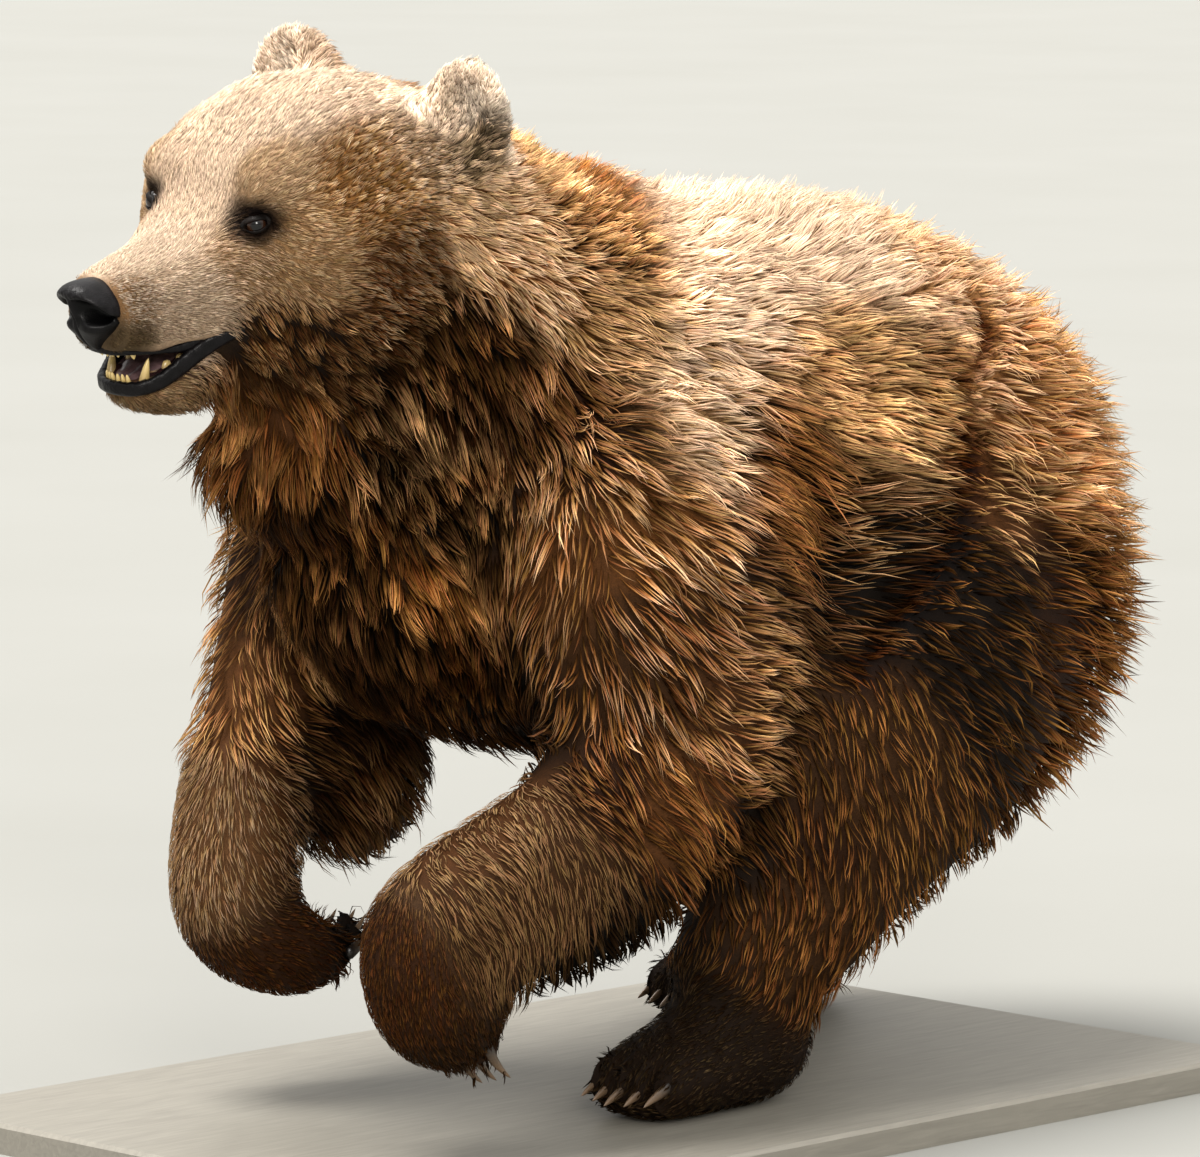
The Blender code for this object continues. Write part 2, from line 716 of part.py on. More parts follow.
def take_jaw(body, helpers):
    """The lower jaw with its canines and incisors."""
    regions = []
    for grow in (0, GAP):
        back = JAW_BACK - grow
        floor = JAW_FLOOR - grow
        profile = ((back, JAW_TOPS[0]), (MUZZLE_END, JAW_TOPS[1]), (MUZZLE_END, floor), (back - JAW_LEAN, floor))
        regions.append(head_prism("jaw_region", profile, 0.25, helpers))
    jaw, body = split(body, "lower_jaw", *regions, helpers)
    forward, _, above = head_axes()
    teeth = []
    for sign in (1, -1):
        canine = head_point(CANINE_AT[0], sign * CANINE_AT[1], CANINE_AT[2])
        teeth.append(spur("canine", canine, above, forward * -0.25, *CANINE_SIZE, helpers))
        for k in (0.5, 1.5):
            incisor = head_point(INCISOR_AT[0] - 0.001 * k, sign * k * INCISOR_PITCH, INCISOR_AT[1])
            teeth.append(spur("incisor", incisor, above, forward * -0.1, *INCISOR_SIZE, helpers))
    return grown_from(jaw, teeth), body


def take_head(body, helpers):
    """The head with its sockets, and the eyes in them."""
    regions = [front_block("head_region", HEAD_CUT, grow, helpers) for grow in (0, GAP)]
    head, body = split(body, "head", *regions, helpers)
    along, across, above = head_axes()
    eyes = []
    hollows = []
    for side, sign in (("left", 1), ("right", -1)):
        at = head_point(EYE_AT[0], sign * EYE_AT[1], EYE_AT[2])
        outward = (along * GAZE[0] + across * (sign * GAZE[1]) + above * GAZE[2]).normalized()
        orbit = at + outward * ORBIT_STEP
        hollows.append(blob("orbit_cutter", orbit, head_axes(), (ORBIT_RADIUS,) * 3, helpers, 12))
        hollows.append(blob("socket_cutter", at, head_axes(), (EYE_RADIUS + EYE_CLEARANCE,) * 3, helpers, 12))
        eyes.append(blob(side + "_eye", at, head_axes(), (EYE_RADIUS,) * 3, helpers, 12))
    return [carve(head, hollows)] + eyes, body


def take_limbs(body, helpers):
    """The four legs and the four paws with their claws."""
    limbs = (
        ("left_forepaw", LEFT_FORELEG[7:], "left_foreleg", LEFT_FORELEG[1:8]),
        ("right_forepaw", RIGHT_FORELEG[6:], "right_foreleg", RIGHT_FORELEG[1:7]),
        ("left_hindpaw", LEFT_FOOT, "left_hindleg", LEFT_HINDLEG[1:]),
        ("right_hindpaw", RIGHT_FOOT, "right_hindleg", RIGHT_HINDLEG[1:]),
    )
    nodes = []
    for paw_name, paw_rows, leg_name, leg_rows in limbs:
        regions = [coarse_loft("paw_region", paw_rows, grow, helpers) for grow in (0, LIMB_GAP)]
        paw, body = split(body, paw_name, *regions, helpers)
        nodes.append(grown_from(paw, claws_of(paw_name, helpers)))
        regions = [coarse_loft("leg_region", leg_rows, grow, helpers) for grow in (0, LIMB_GAP)]
        leg, body = split(body, leg_name, *regions, helpers)
        nodes.append(leg)
    return nodes, body


def main():
    for obj in list(bpy.data.objects):
        bpy.data.objects.remove(obj)
    bear = collection("brown_bear")
    helpers = collection("helpers")
    body = body_form(helpers)
    upright = (Vector((1, 0, 0)), Vector((0, 1, 0)), Vector((0, 0, 1)))
    soles = block("sole_cutter", world(0, 0, SOLE - 0.1), upright, (1, 1, 0.1), helpers)
    mouth = head_prism("mouth_cutter", (MOUTH_CORNER, LIP_BOTTOM, LIP_TOP), 0.13, helpers)
    body = carve(body, [soles, mouth])

    ears, body = take_ears(body, helpers)
    nose, body = take_nose(body, helpers)
    jaw, body = take_jaw(body, helpers)
    head_nodes, body = take_head(body, helpers)
    regions = [front_block("neck_region", NECK_CUT, grow, helpers) for grow in (0, GAP)]
    neck, body = split(body, "neck", *regions, helpers)
    regions = [coarse_loft("tail_region", [TAIL_ROOT] + TAIL[2:], grow, helpers) for grow in (0, LIMB_GAP)]
    tail, body = split(body, "tail", *regions, helpers)
    limbs, trunk = take_limbs(body, helpers)
    trunk.name = "trunk"

    for node in ears + [nose, jaw] + head_nodes + [neck, tail] + limbs + [trunk, stand_base(helpers)]:
        helpers.objects.unlink(node)
        bear.objects.link(node)
        finish(node)
    helpers.hide_render = True


main()
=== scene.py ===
import math
from functools import partial

import bmesh
import bpy
import numpy as np
from mathutils import Matrix, Vector
from mathutils.bvhtree import BVHTree
from mathutils.kdtree import KDTree


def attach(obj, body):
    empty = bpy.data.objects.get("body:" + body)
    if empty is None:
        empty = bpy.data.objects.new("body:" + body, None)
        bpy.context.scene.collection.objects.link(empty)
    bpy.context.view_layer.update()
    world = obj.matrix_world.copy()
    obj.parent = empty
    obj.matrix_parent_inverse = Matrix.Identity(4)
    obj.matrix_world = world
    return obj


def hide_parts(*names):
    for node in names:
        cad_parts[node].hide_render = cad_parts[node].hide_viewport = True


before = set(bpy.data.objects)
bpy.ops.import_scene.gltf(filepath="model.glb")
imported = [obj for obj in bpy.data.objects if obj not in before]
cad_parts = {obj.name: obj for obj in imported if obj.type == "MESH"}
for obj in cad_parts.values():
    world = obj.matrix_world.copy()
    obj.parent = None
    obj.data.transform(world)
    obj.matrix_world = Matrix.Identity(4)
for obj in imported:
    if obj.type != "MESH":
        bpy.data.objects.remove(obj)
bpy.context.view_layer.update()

for node in bpy.context.selected_objects:
    node.select_set(False)

# The bear's own frame: metres forward, to its left and up from the top of the board.
shift = dict(forward=-0.02, left=-0.02, up=0.03)
headPose = dict(seat=(0.292, 0.0, 0.872), pitch=8.0, roll=6.0)  # the back of the skull, turns in degrees
both = (1, -1)  # the bear's left side and its right


def place(forward, left, up):
    return np.stack([np.asarray(left) + shift["left"], -(np.asarray(forward) + shift["forward"]),
                     np.asarray(up) + shift["up"]], -1).astype(float)


def onBear(points):
    # how far forward, left and up on the bear some points are
    return -points[:, 1] - shift["forward"], points[:, 0] - shift["left"], points[:, 2] - shift["up"]


def unit(rows):
    return rows / np.maximum(np.linalg.norm(rows, axis=-1, keepdims=True), 1e-9)


def heading(forward, left, up):
    return unit(np.array([left, -forward, up], float))


def mirrored(at, side):
    return np.array(at) * (1, side, 1)


def turned(degrees, axis):
    return Matrix.Rotation(math.radians(degrees), 3, axis)


turnHead = turned(headPose["pitch"], "X") @ turned(headPose["roll"], "Y")
headAxes = np.array([turnHead @ Vector(way) for way in ((0, -1, 0), (1, 0, 0), (0, 0, 1))])
headSeat = place(*headPose["seat"])


def headPlace(along, across, above):
    spot = np.stack(np.broadcast_arrays(along, across, above), -1).astype(float)
    return headSeat + spot @ headAxes


def onHead(points):
    return (points - headSeat) @ headAxes.T


def toLinear(code):
    values = [int(code[i:i + 2], 16) / 255 for i in (1, 3, 5)]
    return np.array([v / 12.92 if v <= 0.04045 else ((v + 0.055) / 1.055) ** 2.4 for v in values])


def ease(value, low, high):
    t = np.clip((value - low) / (high - low), 0, 1)
    return t * t * (3 - 2 * t)


def ripple(points, size, seed):
    # smooth noise from about -1 to 1, whose bumps are about size metres across: a sum of six waves
    draw = np.random.default_rng(seed)
    total = 0
    for _ in range(6):
        way = unit(draw.normal(size=3)) * (2 * math.pi / (size * draw.uniform(1.4, 3.0)))
        total = total + np.sin(points @ way + draw.uniform(0, 6.28))
    return total / 3


# the shades of the coat, from black-brown roots to pale tips
coatShades = {
    "soot": "#080401", "pitch": "#110902", "bistre": "#190E05", "sepia": "#241508", "umber": "#341C0A",
    "bark": "#442A12", "peat": "#483A28", "chestnut": "#5A3618", "walnut": "#68401E", "drab": "#5A4A34",
    "oak": "#78491F", "dun": "#705234", "hazel": "#865A2C", "mud": "#806242", "rust": "#965E2E",
    "fawn": "#906E4A", "tan": "#A06C3A", "ash": "#8A7C68", "clay": "#9A7C5C", "copper": "#B8743C",
    "ochre": "#B88450", "mouse": "#A88E74", "amber": "#CA925A", "putty": "#B29C7E", "apricot": "#D6A670",
    "oat": "#C4AC94", "straw": "#DEB484", "wheat": "#DAB490", "cream": "#DEC0A4", "honey": "#EABF98",
    "peach": "#F2D0B0", "milk": "#E8D2BA", "ivory": "#F4E4D0",
}


# The zones of the coat say which way the hair lies, how long it is and what colour.
# at: forward, left, up. reach: how far the zone is felt, in metres. flow: the way the hair lies.
# length, wide, clump and deep are in millimetres, and deep is how far the hide lies under the CAD surface.
# tones: shades at the root, in the middle and at the tip. lift: degrees off the skin at the root.
# pull: how far a clump's hairs meet at its tip. fleck: how much clumps differ in tone.
def zone(at, reach, flow, length, tones, sides=(1,), **kind):
    return dict(kind, at=at, reach=reach, flow=flow, length=length, tones=tones, sides=sides)


velvet = partial(zone, lift=11, wide=1, clump=4, pull=0.3, deep=2, fleck=0.16)
plush = partial(zone, lift=40, wide=1.6, clump=7, pull=0.55, deep=6.5, fleck=0.25)
short = partial(zone, lift=18, wide=1.6, clump=9, pull=0.5, deep=5, fleck=0.16)
thick = partial(zone, lift=50, wide=2.2, clump=11, pull=0.66, deep=18, fleck=0.34)
dry = partial(zone, lift=48, wide=3, clump=15, pull=0.55, deep=20, fleck=0.2)
wet = partial(zone, lift=32, wide=2.4, clump=15, pull=0.88, deep=20, fleck=0.34)
rough = partial(zone, lift=58, wide=3, clump=14, pull=0.84, deep=24, fleck=0.34)
under = partial(zone, lift=30, wide=2.8, clump=16, pull=0.7, deep=16, fleck=0.16)

coatZones = {
    "muzzleTop": velvet((0.61, 0, 0.872), 0.036, (-1, 0, 0.35), 10, "ash oat milk", fleck=0.08),
    "muzzleSide": velvet((0.606, 0.05, 0.815), 0.036, (-1, 0.25, -0.1), 12, "peat mouse milk", both,
        fleck=0.12),
    "upperLip": velvet((0.65, 0.03, 0.795), 0.022, (-1, 0.4, -0.3), 8, "umber peat drab", both),
    "noseSide": velvet((0.65, 0.042, 0.822), 0.022, (-1, 0.4, -0.1), 8, "sepia dun ivory", both),
    "bridge": velvet((0.55, 0, 0.93), 0.045, (-1, 0, 0.7), 13, "mouse oat cream", lift=14, clump=5,
        fleck=0.08),
    "forehead": plush((0.485, 0, 0.995), 0.06, (-1, 0.1, 0.45), 14, "ash oat cream", lift=24, pull=0.45,
        fleck=0.1),
    "crown": short((0.405, 0, 1.015), 0.06, (-1, 0.15, 0), 17, "mouse cream milk", lift=38),
    "brow": velvet((0.52, 0.08, 0.935), 0.03, (-0.8, 0.5, 0.6), 13, "walnut clay putty", both, lift=20,
        wide=1.2, clump=6, pull=0.4),
    "underEye": velvet((0.548, 0.08, 0.862), 0.028, (-1, 0.5, -0.3), 12, "bark mud cream", both, clump=5),
    "cheek": short((0.505, 0.115, 0.862), 0.045, (-1, 0.3, -0.35), 14, "walnut fawn putty", both, lift=22,
        wide=1.3, clump=6, pull=0.45),
    "temple": plush((0.45, 0.147, 0.925), 0.045, (-1, 0.2, 0.05), 14, "bark hazel putty", both, lift=46,
        pull=0.6),
    "cheekBack": plush((0.42, 0.165, 0.845), 0.05, (-1, 0.15, -0.6), 20, "umber walnut putty", both, lift=36,
        pull=0.7, deep=11),
    "jawSide": plush((0.5, 0.095, 0.775), 0.042, (-0.8, 0.25, -1), 30, "bistre chestnut apricot", both,
        lift=26, clump=11, pull=0.8, fleck=0.3),
    "chin": velvet((0.6, 0, 0.712), 0.034, (-1, 0, -0.5), 15, "peat mud putty", lift=22, wide=1.3, clump=6,
        pull=0.4),
    "earRim": plush((0.312, 0.165, 1.05), 0.034, (-0.1, 0.3, 1), 10, "oat cream ivory", both, lift=46,
        pull=0.35, deep=2, fleck=0.1),
    "earCup": plush((0.345, 0.13, 1), 0.028, (0.1, 0.4, 1), 11, "mouse oat milk", both, pull=0.45, deep=2),
    "earBase": plush((0.335, 0.165, 0.955), 0.03, (-0.6, 0.4, 0.5), 17, "bistre drab mouse", both, lift=44,
        fleck=0.35),
    "earBack": velvet((0.27, 0.14, 1.01), 0.035, (-0.6, 0.1, 0.5), 12, "oat ivory ivory", both, lift=36,
        wide=2, clump=7, pull=0.5),
    "nape": thick((0.25, 0, 0.96), 0.06, (-1, 0.1, -0.2), 28, "bark tan oat", lift=42, pull=0.55, deep=14,
        fleck=0.16),
    "neckUpper": thick((0.335, 0.185, 0.875), 0.045, (-1, 0.1, -0.45), 26, "copper straw peach", both,
        wide=1.8, pull=0.6, deep=13, fleck=0.28),
    "collar": thick((0.265, 0.195, 0.835), 0.032, (-0.7, 0.15, -0.8), 34, "copper straw peach", both,
        fleck=0.16),
    "neckMid": wet((0.35, 0.18, 0.785), 0.05, (-0.6, 0.1, -1), 52, "pitch umber tan", both, lift=36),
    "neckLow": wet((0.365, 0.13, 0.68), 0.06, (-0.3, 0.1, -1), 64, "soot umber apricot", both),
    "throat": wet((0.48, 0.03, 0.68), 0.052, (-0.25, 0.05, -1), 64, "chestnut oak amber", both),
    "breast": wet((0.42, 0.04, 0.58), 0.07, (-0.3, 0.05, -1), 64, "pitch umber tan", both),
    "breastLow": wet((0.33, 0, 0.46), 0.07, (-0.6, 0, -1), 58, "soot sepia walnut", fleck=0.26),
    "belly": under((0.05, 0, 0.37), 0.17, (-1, 0, -0.35), 50, "bistre sepia oak", clump=18),
    "humpFront": thick((0.18, 0.06, 0.925), 0.05, (-1, 0.3, 0.35), 30, "copper apricot straw", both, lift=58),
    "humpSide": thick((0.15, 0.165, 0.875), 0.04, (-1, 0.2, -0.35), 30, "umber tan straw", both, lift=58,
        pull=0.76, fleck=0.42),
    "humpTop": thick((0.09, 0.045, 0.93), 0.06, (-1, 0.1, 0.1), 30, "bark oak copper", both, fleck=0.26),
    "shoulderTop": under((0.19, 0.215, 0.79), 0.045, (-0.8, 0.1, -0.7), 42, "hazel apricot wheat", both,
        lift=44, wide=2.2, clump=13),
    "shoulder": wet((0.24, 0.22, 0.7), 0.055, (-0.55, 0.1, -1), 60, "umber tan wheat", both, lift=36),
    "side": wet((0.11, 0.255, 0.72), 0.06, (-0.9, 0.1, -0.7), 50, "apricot peach wheat", both, lift=42,
        pull=0.78),
    "backTop": dry((-0.1, 0, 0.89), 0.11, (-1, 0.05, 0), 36, "apricot peach cream", pull=0.5),
    "backSide": dry((-0.13, 0.17, 0.85), 0.09, (-1, 0.1, -0.3), 38, "honey peach peach", both),
    "ribs": dry((-0.1, 0.265, 0.74), 0.08, (-1, 0.05, -0.4), 46, "ochre apricot straw", both, lift=44,
        pull=0.74, fleck=0.26),
    "flank": wet((0.02, 0.275, 0.65), 0.065, (-1, 0.05, -0.6), 66, "umber rust ochre", both, pull=0.82,
        fleck=0.28),
    "flankLow": wet((-0.09, 0.28, 0.57), 0.06, (-1, 0.1, -0.15), 92, "pitch chestnut straw", both, lift=38,
        deep=24),
    "loin": dry((-0.3, 0.19, 0.8), 0.08, (-1, 0.05, -0.6), 42, "amber honey wheat", both, pull=0.72),
    "rump": rough((-0.45, 0.215, 0.64), 0.08, (-0.8, 0.2, -0.8), 54, "copper amber wheat", both),
    "rumpEnd": rough((-0.56, 0.09, 0.56), 0.08, (-1, 0.15, -0.6), 60, "rust apricot wheat", both, lift=68),
    "haunch": rough((-0.42, 0.26, 0.46), 0.08, (-0.9, 0.2, -0.9), 60, "umber oak ochre", both, lift=62),
    "thigh": rough((-0.23, 0.3, 0.48), 0.08, (-0.7, 0.1, -1), 48, "bistre bark hazel", both, lift=46, deep=20,
        ),
    "tail": under((-0.64, 0, 0.59), 0.045, (-0.5, 0, -1), 48, "chestnut rust straw", lift=44, pull=0.78),
    "seat": dry((-0.54, 0, 0.42), 0.08, (-0.7, 0, -1), 55, "soot sepia walnut", lift=60, pull=0.84),
    "innerThigh": under((-0.25, 0.05, 0.33), 0.09, (-0.3, 0, -1), 36, "soot bistre walnut", both, lift=26,
        pull=0.6),
    "leftKnee": under((-0.08, 0.32, 0.32), 0.07, (0, 0.1, -1), 44, "bark hazel tan", wide=2.4, clump=13,
        pull=0.82),
    "leftShin": under((-0.01, 0.27, 0.19), 0.055, (0.35, 0.05, -1), 34, "bark walnut tan", lift=26, clump=13,
        deep=11),
    "leftFoot": short((0.09, 0.198, 0.05), 0.08, (1, 0, -0.25), 13, "soot bistre peat", fleck=0.1),
    "rightKnee": under((-0.34, -0.26, 0.33), 0.08, (-0.3, -0.1, -1), 44, "umber copper wheat", wide=2.4,
        clump=13, pull=0.82),
    "rightShin": under((-0.4, -0.17, 0.18), 0.06, (-0.2, 0, -1), 34, "bistre chestnut amber", lift=26,
        clump=13, deep=11),
    "rightFoot": short((-0.35, -0.15, 0.05), 0.08, (1, 0, -0.25), 13, "soot bistre peat", fleck=0.1),
    "leftShoulder": wet((0.3, 0.25, 0.57), 0.055, (-0.3, 0.1, -1), 64, "walnut tan wheat"),
    "leftArm": wet((0.22, 0.295, 0.48), 0.055, (-0.75, 0.1, -1), 60, "bark rust wheat"),
    "leftElbow": wet((0.12, 0.325, 0.42), 0.055, (-1, 0.05, -0.45), 54, "chestnut amber wheat"),
    "leftForearmTop": short((0.385, 0.23, 0.325), 0.05, (-0.15, 0.4, -1), 26, "chestnut fawn clay", lift=12,
        clump=12, deep=9, fleck=0.06),
    "leftForearm": short((0.36, 0.285, 0.26), 0.06, (-0.15, 0.1, -1), 28, "bark dun mud", lift=12, clump=12,
        deep=10, fleck=0.06),
    "leftForearmUnder": under((0.27, 0.23, 0.19), 0.06, (-0.5, 0, -1), 44, "soot pitch sepia", deep=12),
    "leftWrist": short((0.48, 0.195, 0.18), 0.045, (0.2, 0.2, -1), 14, "soot umber walnut", lift=14,
        fleck=0.06),
    "leftPaw": short((0.395, 0.197, 0.115), 0.045, (-0.3, 0, -1), 14, "soot sepia bark"),
    "rightArmFront": under((0.345, -0.15, 0.45), 0.055, (-0.2, 0.1, -1), 52, "walnut ochre straw", wide=2.4,
        pull=0.75),
    "rightArm": under((0.22, -0.27, 0.5), 0.065, (-0.7, -0.1, -1), 58, "umber ochre straw", wide=2.4,
        pull=0.78),
    "rightElbow": under((0.17, -0.15, 0.32), 0.06, (-0.5, 0.25, -1), 62, "umber bark fawn", lift=40, deep=20),
    "rightForearm": short((0.385, -0.165, 0.27), 0.055, (-0.3, 0, -1), 22, "chestnut mud mouse", lift=13,
        fleck=0.06),
    "rightPaw": short((0.32, -0.15, 0.15), 0.05, (-1, 0, -0.3), 15, "pitch umber chestnut", wide=2.1),
    "chestFront": wet((0.396, 0.028, 0.519), 0.045, (-0.3, 0.05, -1), 60, "pitch umber ochre"),
    "chestFar": wet((0.325, -0.149, 0.478), 0.045, (-0.3, -0.05, -1), 56, "bistre chestnut amber"),
    "armFront": wet((0.372, 0.112, 0.545), 0.036, (-0.35, 0.1, -1), 56, "bark oak amber"),
    "armGap": under((0.298, 0.079, 0.418), 0.042, (-0.3, 0, -1), 44, "pitch umber hazel", clump=14, pull=0.8),
    "neckDark": wet((0.335, 0.15, 0.61), 0.04, (-0.35, 0.1, -1), 60, "soot sepia ochre", fleck=0.22),
    "neckStreak": wet((0.25, 0.196, 0.714), 0.04, (-0.55, 0.1, -1), 60, "umber chestnut tan", lift=36),
    "shoulderLow": wet((0.21, 0.285, 0.59), 0.045, (-0.7, 0.1, -1), 62, "oak amber peach"),
    "elbowLow": wet((0.191, 0.326, 0.335), 0.045, (-0.9, 0.05, -0.9), 50, "walnut rust amber", deep=16,
        fleck=0.2),
    "armLower": under((0.277, 0.304, 0.361), 0.036, (-0.5, 0.1, -1), 44, "umber walnut ochre", wide=2.3,
        clump=13, pull=0.82),
    "bellySide": under((0.075, 0.268, 0.257), 0.045, (-0.8, 0, -0.8), 50, "bistre bark tan", clump=19,
        pull=0.8),
    "rumpFore": rough((-0.3, 0.29, 0.575), 0.042, (-0.75, 0.25, -0.8), 56, "walnut apricot straw", both,
        lift=54, deep=20),
    "rumpCrest": rough((-0.395, 0.245, 0.7), 0.042, (-0.8, 0.25, -0.7), 58, "oak ochre wheat", both),
    "haunchFore": rough((-0.24, 0.325, 0.415), 0.052, (-0.7, 0.1, -1), 50, "bistre bark hazel", both, lift=44,
        deep=20),
    "kneeFore": wet((-0.02, 0.305, 0.255), 0.045, (0.1, 0.1, -1), 42, "umber chestnut tan", clump=13, deep=16,
        fleck=0.24),
    "backLow": dry((0.01, 0.222, 0.804), 0.05, (-1, 0.05, -0.4), 40, "apricot peach peach", both, pull=0.62),
    "loinLow": wet((-0.22, 0.262, 0.7), 0.045, (-1, 0.05, -0.35), 50, "oak ochre straw", both, lift=44,
        pull=0.78, fleck=0.28),
    "crownSide": plush((0.388, 0.146, 0.95), 0.034, (-1, 0.2, 0.2), 15, "bark mud oat", both),
    "cheekDark": short((0.4, 0.173, 0.812), 0.034, (-0.9, 0.15, -0.7), 32, "pitch bark apricot", both,
        lift=34, pull=0.8, deep=13, fleck=0.42),
}
zoneNumbers = ("length", "lift", "wide", "clump", "pull", "deep", "fleck")
zoneBlend = dict(sharpness=-5.0, pointsAtOnce=20000)


def zoneTable():
    rows = []
    for row in coatZones.values():
        for side in row["sides"]:
            spot, flow = place(*mirrored(row["at"], side)), heading(*mirrored(row["flow"], side))
            numbers = [row[key] for key in zoneNumbers]
            tones = [toLinear(coatShades[shade]) for shade in row["tones"].split()]
            rows.append(np.concatenate([spot, [row["reach"]], flow, numbers, *tones]))
    return np.array(rows)


zoneRows = zoneTable()


def coatAt(points):
    # every zone's numbers, blended at each point: flow, dictionary of numbers, tones of root, middle and tip
    made = np.empty((len(points), zoneRows.shape[1] - 4))
    for start in range(0, len(points), zoneBlend["pointsAtOnce"]):
        some = slice(start, start + zoneBlend["pointsAtOnce"])
        gap = ((points[some, None] - zoneRows[None, :, :3]) ** 2).sum(-1) / zoneRows[:, 3] ** 2
        weight = (1 + gap) ** zoneBlend["sharpness"]
        made[some] = (weight / weight.sum(1, keepdims=True)) @ zoneRows[:, 4:]
    numbers = {key: made[:, 3 + i] for i, key in enumerate(zoneNumbers)}
    depth, _, lost = foldAt(points)
    numbers["deep"] = numbers["deep"] + depth * 1000
    numbers["length"] = numbers["length"] * (1 - lost)
    patch = eyePatch(points)[:, None]
    tones = [made[:, k:k + 3] * (1 - patch) + toLinear(code) * patch
             for k, code in zip((10, 13, 16), eye["patchTones"])]
    return unit(made[:, :3]), numbers, *tones


# Deep folds where one part of the body lies over another: a line of places, width and depth in metres, and
# dark: how much painted shade darkens the hair and hide there. The hair in a fold is shortened, over a band
# wider than the fold.
folds = {
    "flank over thigh": dict(line=[(-0.334, 0.190, 0.830), (-0.330, 0.235, 0.762), (-0.285, 0.268, 0.700),
                                   (-0.250, 0.282, 0.620)], width=0.020, depth=0.018, dark=0.97),
    "belly over thigh": dict(line=[(-0.250, 0.282, 0.620), (-0.195, 0.300, 0.558), (-0.115, 0.309, 0.500),
                                   (-0.050, 0.308, 0.445)], width=0.022, depth=0.018, dark=0.78),
    "arm beside chest": dict(line=[(0.350, 0.118, 0.545), (0.322, 0.120, 0.480), (0.290, 0.125, 0.420),
                                   (0.250, 0.125, 0.360)], width=0.014, depth=0.010, dark=0.45),
    "neck over chest": dict(line=[(0.330, 0.168, 0.640), (0.375, 0.115, 0.600), (0.400, 0.050, 0.585),
                                  (0.402, 0, 0.580)], width=0.020, depth=0.006, dark=0.6),
}
# shortened and band: how much hair the folds take and over how wide a band; tint: powers on the painted fold
# shade for red, green and blue, which warm it
foldHair = dict(shortened=0.5, band=1.7, tint=(0.75, 1.0, 1.3))


def layFolds(surface):
    # the folds' lines on both sides of the bear, laid on a surface
    laid = []
    for fold in folds.values():
        for side in both:
            line = place(*(np.array(fold["line"]) * (1, side, 1)).T)
            laid.append((np.array([surface.find_nearest(spot)[0] for spot in line]), fold))
    return laid


def foldAt(points):
    # how much deeper the hide lies at each point, how much painted shade darkens its hair and how much of the
    # hair's length is lost
    depth, dark, lost = np.zeros((3, len(points)))
    for spots, fold in foldLines:
        gap = np.full(len(points), 9.0)
        for start, end in zip(spots, spots[1:]):
            run = end - start
            t = np.clip((points - start) @ run / (run @ run), 0, 1)
            gap = np.minimum(gap, np.linalg.norm(points - start - t[:, None] * run, axis=1))
        near = np.exp(-(gap / fold["width"]) ** 2)
        depth = np.maximum(depth, fold["depth"] * near)
        dark = np.maximum(dark, fold["dark"] * near)
        nearby = np.exp(-(gap / fold["width"] / foldHair["band"]) ** 2)
        lost = np.maximum(lost, fold["dark"] * foldHair["shortened"] * nearby)
    return depth, dark, lost


def paintedFoldShade(points):
    # the painted shade in the folds, warm brown, as something to multiply a colour by
    return (1 - foldAt(points)[1])[:, None] ** np.array(foldHair["tint"])


eye = dict(at=(0.2345, 0.0681, 0.0610), radius=0.0112, gaze=(0.66, 0.74, 0.05), open=(0.0104, 0.0058),
           bare=0.0142, patch=(0.034, 0.030, 0.0225), patchFrom=(0.006, 0, 0.002),
           patchTones=("#0D0907", "#1B1310", "#3A2B21"))  # the patch's hair: root, middle and tip


def eyePatch(points):
    # how much of the dark patch round an eye lies at each point, from 0 to 1
    local = onHead(points)
    patch = np.zeros(len(points))
    for side in both:
        off = (local - mirrored(eye["at"], side) - eye["patchFrom"]) / eye["patch"]
        patch = np.maximum(patch, 1 - ease(np.linalg.norm(off, axis=1), 0.55, 1.25))
    return patch


def eyeGap(local):
    # how far some places on the head are from the middle of the nearer eye
    return np.min([np.linalg.norm(local - mirrored(eye["at"], side), axis=1) for side in both], axis=0)


# small tools
def only(obj):
    for other in bpy.context.selected_objects:
        other.select_set(False)
    obj.select_set(True)
    bpy.context.view_layer.objects.active = obj


def applyAll(obj):
    only(obj)
    for modifier in list(obj.modifiers):
        bpy.ops.object.modifier_apply(modifier=modifier.name)


def smoothing(obj, name, turns, group=""):
    modifier = obj.modifiers.new(name, "SMOOTH")
    modifier.factor = 0.5
    modifier.iterations = turns
    modifier.vertex_group = group


def readAll(items, key, width=3, kind=float):
    # one property of all of a mesh's points, corners or triangles, a row for each
    flat = np.empty(len(items) * width, kind)
    items.foreach_get(key, flat)
    return flat.reshape(-1, width)


def pointsOf(mesh):
    return readAll(mesh.vertices, "co")


def normalsOf(mesh):
    return readAll(mesh.vertices, "normal")


def trianglesOf(mesh):
    mesh.calc_loop_triangles()
    return readAll(mesh.loop_triangles, "vertices", kind=np.int32)


def movePoints(mesh, points):
    mesh.vertices.foreach_set("co", points.ravel())
    mesh.update()


def smoothShade(obj):
    obj.data.polygons.foreach_set("use_smooth", np.ones(len(obj.data.polygons), bool))
    obj.data.update()


def shapeTo(obj, points):
    movePoints(obj.data, points)
    smoothShade(obj)
    return obj


def addLayer(mesh, name, kind, values):
    # an attribute on a mesh's points; a colour is given an alpha of 1
    values = np.asarray(values, float)
    if kind == "FLOAT_COLOR":
        values = np.concatenate([values, np.ones((*values.shape[:-1], 1))], -1)
    field = {"FLOAT": "value", "FLOAT_VECTOR": "vector", "FLOAT_COLOR": "color"}[kind]
    mesh.attributes.new(name, kind, "POINT").data.foreach_set(field, values.ravel())


def newObject(name, data):
    obj = bpy.data.objects.new(name, data)
    bpy.context.scene.collection.objects.link(obj)
    return obj


def meshFrom(bm, name):
    mesh = bpy.data.meshes.new(name)
    bm.to_mesh(mesh)
    bm.free()
    return mesh


def named(obj, name):
    obj.name = obj.data.name = name
    return obj


